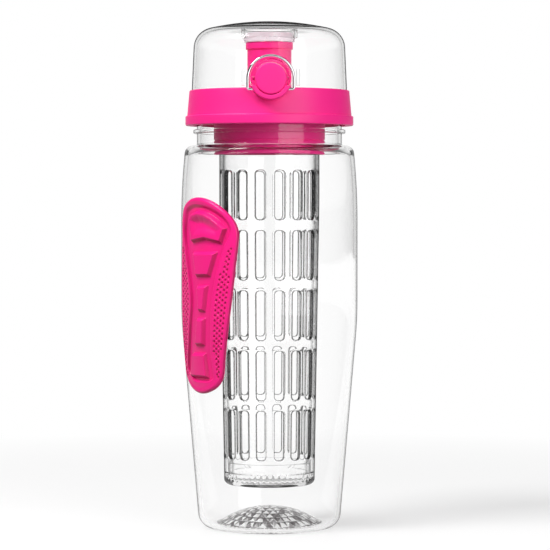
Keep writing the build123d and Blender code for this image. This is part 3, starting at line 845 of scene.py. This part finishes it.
def grip_dimples(edge, well):
    """Centres of the small diamonds in the two side strips."""
    centres = []
    low, high = STRIP_ENDS
    for right, lean, spread in ((True, 0.5, 0.17), (False, 0.45, 0.15)):
        for row in range(DIMPLE_ROWS):
            height = DIMPLES_FROM + row * DIMPLE_PITCH / 2
            swell = max(0.0, sin(pi * (height - low) / (high - low))) ** 0.6
            near = side_at(well, height, right)
            far = side_at(edge, height, right)
            for column in range(row % 2, 4, 2):
                aside = (column - 1.5) * spread
                if abs(aside) < 0.3 * swell + 0.03:
                    centres.append((near + (far - near) * (lean + aside), height))
    return centres


def grip_height(u, z, edge, well):
    """Height of the grip's face above the bottle's wall."""
    inside = depth_inside(u, z, edge)
    deep = depth_inside(u, z, well)
    bottom = GRIP_FLOOR - 0.2 * ease(z, 128, 150)
    ramp = 1.0 + 1.4 * ease(z, 148, 158)
    face = GRIP_RIM - (GRIP_RIM - bottom) * ease(deep, 0, ramp)
    face += 0.18 * ease(1.3 - np.abs(inside - 1.6), 0, 1.2)
    for pad in GRIP_PADS:
        within = depth_inside(u, z, np.array(pad, float))
        crest = PAD_CREST
        if pad is GRIP_PADS[0]:
            heights = [height for _, height in pad]
            along = np.clip((z - min(heights)) / (max(heights) - min(heights)), 0, 1)
            crest = PAD_CREST - 1.8 * ease(within, 1.5, 6.5) * ease(along, 0.1, 0.7)
        raised = bottom + (crest - bottom) * np.clip(within / PAD_BEVEL, 0, 1)
        face = np.where(within > 0, np.maximum(face, raised), face)
    half_width, half_height = DIMPLE_REACH
    for cu, cz in grip_dimples(edge, well):
        reach = np.abs(u - cu) / half_width + np.abs(z - cz) / half_height
        face = face - np.where(reach < 1, DIMPLE_DEPTH * np.maximum(1 - reach, 0) ** 0.7, 0)
    short = GRIP_ROLL - np.clip(inside, 0, GRIP_ROLL)
    drop = GRIP_ROLL - np.sqrt(np.maximum(GRIP_ROLL**2 - short**2, 0))
    return np.maximum(face - drop, GRIP_LEAST)


def painted_grip_shade(height, u, z):
    """Painted shade of the grip's face: how far it looks down or towards the bottle's front, 0 to 1.
    """
    up = np.gradient(height, axis=0) / np.maximum(np.gradient(z, axis=0), 0.05)
    right = np.gradient(height, axis=1) / np.maximum(np.gradient(u, axis=1), 0.05)
    return np.clip(0.75 * np.maximum(up, 0) + 0.4 * np.maximum(-right, 0), 0, 1)


def resampled(points, count):
    """Points at even steps along an open line."""
    points = np.array(points, float)
    steps = np.hypot(*np.diff(points, axis=0).T)
    along = np.concatenate([[0], np.cumsum(steps)])
    wanted = np.linspace(0, along[-1], count)
    return np.stack([np.interp(wanted, along, points[:, k]) for k in (0, 1)], axis=1)


def grip_patch(edge, across, upward):
    """Grid of (u, z) that fills the grip's outline, between its four corners."""
    corner = [LOOP_STEPS * i for i in GRIP_CORNERS]
    right = resampled(edge[corner[0] : corner[1] + 1], upward)
    top = resampled(edge[corner[1] : corner[2] + 1][::-1], across)
    left = resampled(edge[corner[2] : corner[3] + 1][::-1], upward)
    bottom = resampled(np.concatenate([edge[corner[3] :], edge[: corner[0] + 1]]), across)
    s = np.linspace(0, 1, across)[None, :, None]
    t = np.linspace(0, 1, upward)[:, None, None]
    patch = (1 - t) * bottom[None] + t * top[None] + (1 - s) * left[:, None] + s * right[:, None]
    patch -= (1 - s) * (1 - t) * bottom[0] + s * (1 - t) * bottom[-1]
    patch -= (1 - s) * t * top[0] + s * t * top[-1]
    return patch[..., 0], patch[..., 1]


def grip_faces(across, upward):
    """Faces of the grip's front, back and edge."""
    faces = []
    count = across * upward
    for j in range(upward - 1):
        for i in range(across - 1):
            a = j * across + i
            faces.append((a, a + 1, a + across + 1, a + across))
            b = a + count
            faces.append((b, b + across, b + across + 1, b + 1))
    ring = list(range(across))
    ring += [j * across + across - 1 for j in range(1, upward)]
    ring += [(upward - 1) * across + i for i in range(across - 2, -1, -1)]
    ring += [j * across for j in range(upward - 2, 0, -1)]
    for k, a in enumerate(ring):
        b = ring[(k + 1) % len(ring)]
        faces.append((a, b, b + count, a + count))
    return faces


def make_grip():
    edge = smooth_loop(GRIP_EDGE)
    across, upward = 150, 420
    u, z = grip_patch(edge, across, upward)
    height = grip_height(u, z, edge, smooth_loop(GRIP_WELL))
    wall = wall_radius(z)
    angle = GRIP_AZIMUTH + u / BODY_RADIUS
    verts = []
    for radius in (wall + height, wall + 0.02):
        verts += zip((radius * np.sin(angle)).ravel(), (-radius * np.cos(angle)).ravel(), z.ravel())
    obj = thing("soft_grip", (verts, grip_faces(across, upward)))
    # Painted shade on the grip's front, where its face looks down or towards the bottle's front.
    shade = painted_grip_shade(height, u, z).ravel()
    mark(obj, "shade", np.concatenate([shade, np.zeros(len(shade))]))
    finish(obj, "bottle", GRIP_PINK, ["side_grip"], sharp=60)


# Lid.


def collar_line():
    """Section of collar, deck, spout and plug sleeve."""
    corners = [
        (COLLAR_BORE, COLLAR_FOOT, 0.2),
        (FLANGE_RADIUS, COLLAR_FOOT, 0.6),
        (FLANGE_RADIUS, FLANGE_TOP, 0.55),
        (COLLAR_LOW_RADIUS, FLANGE_TOP, 0.25),
        (COLLAR_TOP_RADIUS, RIM_TOP, 0.6),
        (COVER_SEAT, RIM_TOP, 0.2),
        (COVER_SEAT, DECK_TOP, 0.2),
        (SPOUT_RADIUS, DECK_TOP, 1.2),
        (SPOUT_RADIUS, SPOUT_LIP_FOOT, 0.15),
        (SPOUT_LIP_RADIUS, SPOUT_LIP_FOOT, 0.3),
        (SPOUT_LIP_RADIUS, SPOUT_TOP, 0.6),
        (SPOUT_BORE, SPOUT_TOP, 0.6),
        (SPOUT_BORE, DECK_UNDER, 0.5),
        (SKIRT_BORE, DECK_UNDER, 0),
        (SKIRT_BORE, STOP_TOP, 0),
        (STOP_RADIUS, STOP_TOP, 0.2),
        (STOP_RADIUS, BASKET_TOP, 0.2),
        (SKIRT_BORE, BASKET_TOP, 0),
        (SKIRT_BORE, SKIRT_FOOT, 0.3),
        (SKIRT_RADIUS, SKIRT_FOOT, 0.8),
        (SKIRT_RADIUS, GROOVE_FOOT, 0.1),
        (GROOVE_RADIUS, GROOVE_FOOT + GROOVE_BEVEL, 0.1),
        (GROOVE_RADIUS, GROOVE_TOP - GROOVE_BEVEL, 0.1),
        (SKIRT_RADIUS, GROOVE_TOP, 0.1),
        (SKIRT_RADIUS, DECK_UNDER, 1.0),
        (COLLAR_BORE, DECK_UNDER, 0.4),
    ]
    return rounded(corners, 12, 5, closed=True)


def button_ring():
    """Ring round the lower side of the button, with holes for the bail."""
    corners = [
        (BUTTON_BORE, RING_ROOT_REACH, 0),
        (RING_RADIUS, RING_ROOT_REACH, 0),
        (RING_RADIUS, RING_REACH, 0.7),
        (BUTTON_BORE, RING_REACH, 0.45),
    ]
    ring = forward(turned(rounded(corners, 15, 4, closed=True), 128))
    holes = []
    for low, high in both_sides(BAIL_HOLE_END, CUT_X[1]):
        holes.append(cross(rod(BAIL_HOLE, low, high, count=32), -BAIL_REACH, BAIL_PIVOT))
    return cut(ring, block(CUT_X, CUT_Y, (RING_TOP, CUT_CEILING)), *holes)


def back_plate():
    """Plate behind the button, with the hole for its stem."""
    plate = forward(rod(PLATE_RADIUS, PLATE_BACK, PLATE_FRONT, 0.3))
    foot_x, foot_z = (-PLATE_RADIUS, PLATE_RADIUS), (DECK_UNDER + OVERRUN, BUTTON_HEIGHT)
    foot = block(foot_x, (-PLATE_FRONT, -PLATE_BACK), foot_z)
    hole = forward(rod(STEM_BORE, PLATE_BACK - OVERRUN, PLATE_FRONT + OVERRUN, count=32))
    return cut(joined(plate, foot), hole)


def hinge_sides(span_x, edge, arm_gap, arm_root, arm_z):
    """Knuckles round the hinge pin on both sides, each with its arm."""
    shapes = []
    for low, high in both_sides(*span_x):
        shapes.append(cross(rod(KNUCKLE_RADIUS, low, high, edge), HINGE_REACH, HINGE_HEIGHT))
        shapes.append(block((low + arm_gap, high - arm_gap), (arm_root, HINGE_REACH), arm_z))
    return shapes


def make_collar():
    bore = forward(rod(BUTTON_BORE, PLATE_FRONT, RING_REACH + OVERRUN))
    shell = cut(turned(collar_line(), 224), bore)
    arm_z = (HINGE_HEIGHT - KNUCKLE_RADIUS, RIM_TOP - 0.02)
    ears = hinge_sides(EAR_SPAN, 0.35, 0, EAR_ROOT_REACH, arm_z)
    obj = thing("pink_lid", joined(shell, button_ring(), back_plate(), *ears))
    finish(obj, "lid", PINK, ["lid_collar", "drink_spout", "plug_sleeve"])


def make_button():
    corners = [
        (0, RING_REACH, 0),
        (BUTTON_RADIUS, RING_REACH - 0.05, 0.7),
        (BUTTON_RADIUS, BUTTON_BACK_REACH, 0.2),
        (WELL_RADIUS, BUTTON_BACK_REACH, 0.1),
        (WELL_RADIUS, BUTTON_INSIDE_REACH, 0),
        (STEM_RADIUS, BUTTON_INSIDE_REACH, 0.1),
        (STEM_RADIUS, STEM_HEAD_REACH, 0),
        (STEM_HEAD_RADIUS, STEM_HEAD_REACH, 0.1),
        (STEM_HEAD_RADIUS, STEM_END_REACH, 0.1),
        (0, STEM_END_REACH, 0),
    ]
    button = forward(turned(rounded(corners, 12, 3), 128))
    y = (-TAB_REACH, -BUTTON_BACK_REACH - 0.02)
    z = (BUTTON_HEIGHT - TAB_HEIGHT / 2, BUTTON_HEIGHT + TAB_HEIGHT / 2)
    tabs = [block(x, y, z) for x in both_sides(*TAB_SPAN)]
    obj = thing("push_button", joined(button, *tabs))
    finish(obj, "button", PINK, ["release_button"])


def make_button_spring():
    """Coil between the ring's plate and the button, drawn at rest."""
    near, far = PLATE_FRONT + SPRING_INSET, BUTTON_INSIDE_REACH - SPRING_INSET
    steps = 24 * SPRING_TURNS
    points = []
    for k in range(steps + 1):
        angle = 2 * pi * k / 24
        reach = near + (far - near) * k / steps
        x, up = SPRING_RADIUS * cos(angle), SPRING_RADIUS * sin(angle)
        points.append((x, -reach, BUTTON_HEIGHT + up))
    obj = thing("button_coil", tube(points, SPRING_WIRE / 2, 12))
    finish(obj, "button", SPRING, ["button_spring"])
    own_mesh(obj)


def make_bail():
    side = BAIL_RADIUS - BAIL_BEND
    leg = [(BAIL_TIP, BAIL_PIVOT), (side, BAIL_PIVOT)]
    for angle in (radians(15 * k) for k in range(1, 7)):
        leg.append((side + BAIL_BEND * sin(angle), BAIL_PIVOT + BAIL_BEND * (1 - cos(angle))))
    leg.append((BAIL_RADIUS, BAIL_LEG_TOP))
    arch = []
    for angle in (pi * k / 64 for k in range(65)):
        arch.append((BAIL_RADIUS * cos(angle), BUTTON_HEIGHT + BAIL_RADIUS * sin(angle)))
    other_leg = [(-x, z) for x, z in reversed(leg)]
    path = [(x, -BAIL_REACH, z) for x, z in leg + arch + other_leg]
    obj = thing("wire_bail", tube(path, BAIL_WIRE / 2, 20))
    finish(obj, "bail", STEEL, ["lock_bail"])


# Cover.


def cover_line():
    """Section of the dome and of the socket for its seal."""
    corner = CROWN_ROUND * tan(CROWN_FALL / 2)
    edge = COVER_TOP - (COVER_TOP_RADIUS - corner) * tan(CROWN_FALL)
    inner_edge = edge - COVER_WALL * (1 - tan(CROWN_FALL))
    foot = DECK_TOP + ROOM
    ceiling = COVER_TOP - COVER_WALL
    corners = [
        (0, COVER_TOP, 0),
        (corner, COVER_TOP, CROWN_ROUND),
        (COVER_TOP_RADIUS, edge, COVER_ROUND),
        (COVER_FOOT_RADIUS, foot, 0.3),
        (COVER_FOOT_RADIUS - COVER_WALL, foot, 0.3),
        (COVER_TOP_RADIUS - COVER_WALL, inner_edge, COVER_ROUND - COVER_WALL),
        (SOCKET_RADIUS, ceiling - 0.25, 0.4),
        (SOCKET_RADIUS, SEAL_TOP, 0.3),
        (SOCKET_BORE, SEAL_TOP, 0.3),
        (SOCKET_BORE, ceiling - 0.1, 0.3),
        (0, ceiling, 0),
    ]
    return rounded(corners, 5, 4)


def latch_arch():
    """Arch over the button and its lip for the bail."""
    arch = forward(rod(RING_RADIUS, ARCH_ROOT_REACH, ARCH_REACH, ARCH_ROUND, 128))
    corners = [
        (LIP_BORE, LIP_ROOT_REACH, 0),
        (RING_RADIUS, LIP_ROOT_REACH, 0),
        (RING_RADIUS - HAIR, LIP_REACH, 0.3),
        (LIP_BORE, LIP_REACH, 0.3),
    ]
    lip = forward(turned(rounded(corners, 30, 4, closed=True), 128))
    return [
        cut(arch, block(CUT_X, CUT_Y, (CUT_FLOOR, ARCH_FOOT))),
        cut(lip, block(CUT_X, CUT_Y, (CUT_FLOOR, LIP_FOOT))),
    ]


def button_ways():
    """Room for the button, its tabs and the way of the tabs out of the arch."""
    back = ARCH_ROOT_REACH - OVERRUN
    half = ARCH_BORE - 0.001
    ways = [
        forward(rod(ARCH_BORE, back, RING_REACH, count=128)),
        block((-half, half), (-RING_REACH, -back), (DECK_TOP - OVERRUN, BUTTON_HEIGHT)),
    ]
    deep = BUTTON_TRAVEL - BUTTON_BACK_REACH + TAB_ROOM
    front = -TAB_REACH - TAB_ROOM
    height = (BUTTON_HEIGHT - OVERRUN, BUTTON_HEIGHT + OVERRUN)
    for x in both_sides(0, TAB_WAY):
        ways.append(block(x, (front, deep), height))
        ways.append(block(x, (front + BUTTON_TRAVEL, deep - 0.05), (DECK_TOP, BUTTON_HEIGHT)))
    return ways


def make_cover():
    obj = thing("clear_flip_cover", turned(cover_line(), 224))
    rib_y, rib_z = (-RIB_REACH, -RIB_ROOT_REACH), (ARCH_FOOT, ARCH_FOOT + RIB_HEIGHT)
    ribs = [block(x, rib_y, rib_z) for x in both_sides(*RIB_SPAN)]
    arm_z = (RIM_TOP + 0.3, HINGE_HEIGHT + KNUCKLE_RADIUS - HAIR)
    knuckles = hinge_sides(KNUCKLE_SPAN, 0.3, HAIR, ARM_ROOT_REACH, arm_z)
    combine(obj, latch_arch() + ribs + knuckles, "UNION")
    pin = cross(rod(HINGE_BORE, *CUT_X, count=48), HINGE_REACH, HINGE_HEIGHT)
    combine(obj, [*button_ways(), pin], "DIFFERENCE")
    mark_inner(obj, 235)
    finish(obj, "cover", CLEAR_COVER, ["flip_cover"])


def make_seal():
    corners = [
        (0, SPOUT_TOP + ROOM, 0),
        (SEAL_FACE_RADIUS, SPOUT_TOP + ROOM, 0.5),
        (SEAL_RADIUS, SEAL_TOP, 0.4),
        (SEAL_PLUG_RADIUS, SEAL_TOP, 0),
        (SEAL_PLUG_RADIUS, SEAL_PLUG_TOP, 0.5),
        (0, SEAL_PLUG_TOP, 0),
    ]
    obj = thing("spout_seal", turned(rounded(corners, 15, 4), 96))
    finish(obj, "cover", SILICONE, ["cover_seal"])


# Infuser.


def basket_radius(z):
    if z > BASKET_TAPER_FROM:
        return BASKET_TOP_RADIUS
    run = (z - CAP_BOTTOM) / (BASKET_TAPER_FROM - CAP_BOTTOM)
    return BASKET_LOW_RADIUS + run * (BASKET_TOP_RADIUS - BASKET_LOW_RADIUS)


def slot_loop():
    """Outline of a slot, counter-clockwise from its upper right corner."""
    arcs = []
    for x, z, start in ((1, 1, 0), (-1, 1, 90), (-1, -1, 180), (1, -1, 270)):
        x *= SLOT_HALF_WIDTH - SLOT_ROUND
        z *= SLOT_STRAIGHT
        angles = [radians(start + 15 * k) for k in range(7)]
        arcs.append([(x + SLOT_ROUND * cos(a), z + SLOT_ROUND * sin(a)) for a in angles])
    points = []
    for pieces, (arc, following) in zip((3, 8, 3, 8), pairs(arcs, closed=True)):
        points += arc
        (x, z), (end_x, end_z) = arc[-1], following[0]
        for share in (k / pieces for k in range(1, pieces)):
            points.append((x + (end_x - x) * share, z + (end_z - z) * share))
    return points


def cell_loop(points):
    """Points of a slot's outline pushed out to its cell, with x from -1 to 1."""
    half = SLOT_PITCH / 2
    out = []
    for x, z in points:
        if abs(z) > SLOT_STRAIGHT:
            out.append((x / SLOT_HALF_WIDTH, copysign(half, z)))
        else:
            out.append((copysign(1, x), z * half / SLOT_STRAIGHT))
    return out


SLOT = slot_loop()
CELL = cell_loop(SLOT)
HALF_CELL = pi / SLOTS_ROUND
# Rings of a slot: how far out from the slot, how deep in the wall, share of the way to the cell.
SLOT_RINGS = [
    (0, BASKET_WALL / 2, 0),
    (0, SLOT_EDGE, 0),
    (SLOT_EDGE / 2, SLOT_EDGE * 0.15, 0),
    (SLOT_EDGE, 0, 0),
    (SLOT_EDGE, 0, 0.35),
    (SLOT_EDGE, 0, 0.7),
    (SLOT_EDGE, 0, 1),
]


def painted_slot_line(vertex):
    """Painted dark share of a point at the rim of a slot."""
    x, y, z = vertex.co / MM
    row = min(SLOT_ROWS - 1, max(0, round((FIRST_SLOT - z) / SLOT_PITCH)))
    turn = atan2(x, -y) * SLOTS_ROUND / (2 * pi)
    aside = abs(turn - floor(turn) - 0.5) * 2 * pi / SLOTS_ROUND * BASKET_TOP_RADIUS
    over_x = aside - (SLOT_HALF_WIDTH - SLOT_ROUND)
    over_z = abs(z - FIRST_SLOT + row * SLOT_PITCH) - SLOT_STRAIGHT
    away = max(over_x, 0) ** 2 + max(over_z, 0) ** 2
    distance = away**0.5 + min(max(over_x, over_z), 0) - SLOT_ROUND
    depth = basket_radius(z) - (x * x + y * y) ** 0.5
    mid_wall = abs(depth - BASKET_WALL / 2) < 0.2
    return 0.75 if distance < 0.3 and not mid_wall else 0.0


def on_basket(angle, z, depth):
    """Point in the basket's wall, at a depth from its outside."""
    radius = basket_radius(z) - depth
    return radius * sin(angle), -radius * cos(angle), z


def slot_cell(centre, middle, inner):
    """Half the wall of one slot's cell, with the slot's edge, outside or inside."""
    rings = []
    for outward, depth, share in SLOT_RINGS:
        if inner:
            depth = BASKET_WALL - depth
        ring = []
        for (x, z), (cell_x, cell_z) in zip(SLOT, CELL):
            aside = x * (1 + outward / SLOT_HALF_WIDTH) / BASKET_TOP_RADIUS
            up = z * (1 + outward / SLOT_HALF_LENGTH)
            aside += (cell_x * HALF_CELL - aside) * share
            up += (cell_z - up) * share
            ring.append(on_basket(centre + aside, middle + up, depth))
        rings.append(ring)
    return stitched(rings)


def plain_end(line, angles):
    """Plain wall along a line of (height, depth) and back inside, open at the slots."""
    line = line + [(z, BASKET_WALL - depth) for z, depth in reversed(line)]
    return stitched([[on_basket(angle, z, depth) for angle in angles] for z, depth in line])


def make_basket():
    cells = []
    angles = set()
    across = [x for x, z in CELL if abs(z) > SLOT_PITCH / 2 - TINY]
    for row in range(SLOT_ROWS):
        for turn in range(SLOTS_ROUND):
            centre = (2 * turn + 1) * HALF_CELL
            angles.update(round((centre + x * HALF_CELL) % (2 * pi), 6) for x in across)
            for inner in (False, True):
                cells.append(slot_cell(centre, FIRST_SLOT - row * SLOT_PITCH, inner))
    above = [FIRST_SLOT + SLOT_PITCH / 2, *PLAIN_RINGS, BASKET_TOP - TOP_EDGE]
    above = [(z, 0) for z in above] + [(BASKET_TOP, TOP_EDGE)]
    below = [(FIRST_SLOT - (SLOT_ROWS - 0.5) * SLOT_PITCH, 0)]
    below += [(BASKET_BOTTOM + FOOT_EDGE, 0), (BASKET_BOTTOM, FOOT_EDGE)]
    ends = [plain_end(line, sorted(angles)) for line in (above, below)]
    obj = thing("clear_infuser", joined(*cells, *ends))
    weld(obj.data, 2e-6)
    # Painted dark lines round the slots stand in for dark surroundings seen through their edges.
    mark(obj, "line", [painted_slot_line(v) for v in obj.data.vertices])
    finish(obj, "infuser", CLEAR_INFUSER, ["infuser_basket"])


def cap_shape(r, z, angle):
    """Finger flutes round the cap's side."""
    if r > basket_radius(BASKET_BOTTOM) - 0.05 and CAP_BOTTOM + 2.2 < z < BASKET_BOTTOM - 0.4:
        r -= CAP_FLUTE_DEPTH * (0.5 + 0.5 * cos(CAP_FLUTES * angle))
    return r, z


def make_cap():
    outer = basket_radius(BASKET_BOTTOM)
    plug = outer - BASKET_WALL - CAP_FIT
    bore = plug - CAP_PLUG_WALL
    top = BASKET_BOTTOM + CAP_PLUG
    inside = CAP_BOTTOM + CAP_FLOOR
    corners = [
        (0, CAP_BOTTOM, 0),
        (outer, CAP_BOTTOM, CAP_ROUND),
        (outer, BASKET_BOTTOM, 0.2),
        (plug, BASKET_BOTTOM, 0),
        (plug, top, 0.3),
        (bore, top, 0.3),
        (bore, inside, 1.4),
        (0, inside, 0),
    ]
    line = rounded(corners, 12, 1.2)
    obj = thing("clear_infuser_cap", turned(line, 288, cap_shape))
    finish(obj, "end_cap", CLEAR_INFUSER, ["infuser_end_cap"])


# Small parts.


def dress_cad():
    """Materials for the CAD nodes that stay as they are."""
    chosen = {"lid_gasket": SILICONE, "hinge_pin": STEEL, "cover_spring": SPRING}
    for name, material in chosen.items():
        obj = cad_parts[name]
        obj.data.materials.clear()
        obj.data.materials.append(material)


make_body()
make_grip()
make_collar()
make_button()
make_button_spring()
make_bail()
make_cover()
make_seal()
make_basket()
make_cap()
dress_cad()


# Stage.


LAMP_AIM = Vector((0, 0, 0.16))
# Name, azimuth, rise, distance, width, height and radiance of each lamp.
LAMPS = [
    ("key_box", 34, 13, 1.1, 0.84, 1.1, 3.5),
    ("upper_left_box", -56, 48, 1.2, 0.45, 0.45, 22.0),
    ("top_box", 0, 88, 1.4, 1.2, 1.2, 1.0),
]
FRONT_GLOSS = 0.1
DIFFUSE_WORLD = 0.16
FLOOR_BOUNCE = (0.2, 0.2, 0.2)
FLOOR_WHITE = 0.4
FLOOR_SPAN = (-6, 6)
PIXEL = 0.0005
CAMERA_LENS = 170.2
CAMERA_TURN = radians(0.87)
CAMERA_DISTANCE = 1.3
CAMERA_HEIGHT = 0.16
AIM_RIGHT = 5.6 * PIXEL
AIM_DOWN = 67 * PIXEL


def make_floor():
    """Pale floor, white further out, that sends little light back up."""
    mesh = bpy.data.meshes.new("floor")
    corners = [(x, y, 0) for x in FLOOR_SPAN for y in FLOOR_SPAN]
    mesh.from_pydata(corners, [], [(0, 2, 3, 1)])
    material, tree, shader = new_material("pale_floor")
    bounced = add_node(tree, "LightPath").outputs["Is Diffuse Ray"]
    colour = blend(tree, bounced, (0.95, 0.95, 0.95), FLOOR_BOUNCE)
    feed(tree, shader, {"Roughness": 0.5, "Specular IOR Level": 0.2, "Base Color": colour})
    place = add_node(tree, "TexCoord").outputs["Object"]
    length = add_node(tree, "VectorMath", {0: place})
    length.operation = "LENGTH"
    far = span(tree, length.outputs["Value"], FLOOR_WHITE, 1, 0.16, 0.55)
    seen = maths(tree, "SUBTRACT", 1, bounced)
    share = maths(tree, "MULTIPLY", far, seen)
    white = add_node(tree, "Emission", {"Strength": 1}).outputs[0]
    surface = mixed(tree, share, shader.outputs[0], white)
    feed(tree, tree.nodes["Material Output"], {"Surface": surface})
    mesh.materials.append(material)
    new_object("floor", mesh)


def make_world():
    """White surroundings, dimmer in front for reflections and for diffuse light."""
    world = bpy.data.worlds.new("studio")
    scene.world = world
    world.use_nodes = True
    tree = world.node_tree
    way = add_node(tree, "TexCoord").outputs["Generated"]
    back = add_node(tree, "SeparateXYZ", {0: way}).outputs["Y"]
    behind = span(tree, back, FRONT_GLOSS, 1, 0.75, 0.97)
    path = add_node(tree, "LightPath").outputs
    straight = maths(tree, "LESS_THAN", path["Glossy Depth"], 0.5)
    reflected = maths(tree, "MAXIMUM", straight, behind)
    seen = maths(tree, "MAXIMUM", path["Is Camera Ray"], path["Is Glossy Ray"])
    seen = maths(tree, "MAXIMUM", seen, path["Is Transmission Ray"])
    seen = maths(tree, "MULTIPLY", seen, reflected)
    direct = maths(tree, "LESS_THAN", path["Diffuse Depth"], 0.5)
    seen = maths(tree, "MULTIPLY", seen, direct)
    strength = maths(tree, "MAXIMUM", seen, DIFFUSE_WORLD)
    feed(tree, tree.nodes["Background"], {"Color": (1, 1, 1, 1), "Strength": strength})


def softbox(name, azimuth, rise, distance, width, tall, radiance):
    """Area lamp that faces the bottle, azimuth from the front towards +X."""
    light = bpy.data.lights.new(name, "AREA")
    light.shape = "RECTANGLE"
    light.size = width
    light.size_y = tall
    light.energy = radiance * pi * width * tall
    obj = new_object(name, light)
    turn, lift = radians(azimuth), radians(rise)
    away = Vector((sin(turn) * cos(lift), -cos(turn) * cos(lift), sin(lift)))
    obj.location = LAMP_AIM + away * distance
    obj.rotation_euler = (-away).to_track_quat("-Z", "Y").to_euler()


def make_camera():
    """Camera that looks past the bottle's axis and slightly down."""
    data = bpy.data.cameras.new("camera")
    data.sensor_width = 36
    data.lens = CAMERA_LENS
    data.clip_start = 0.05
    camera = new_object("camera", data)
    ahead = Vector((sin(CAMERA_TURN), cos(CAMERA_TURN), 0))
    right = Vector((cos(CAMERA_TURN), -sin(CAMERA_TURN), 0))
    camera.location = Vector((0, 0, CAMERA_HEIGHT)) - ahead * CAMERA_DISTANCE
    aim = Vector((0, 0, CAMERA_HEIGHT - AIM_DOWN)) + right * AIM_RIGHT
    camera.rotation_euler = (aim - camera.location).to_track_quat("-Z", "Y").to_euler()
    scene.camera = camera


make_floor()
make_world()
for lamp in LAMPS:
    softbox(*lamp)
make_camera()

scene.view_settings.view_transform = "Standard"
cycles = scene.cycles
cycles.max_bounces = cycles.transmission_bounces = cycles.transparent_max_bounces = 20
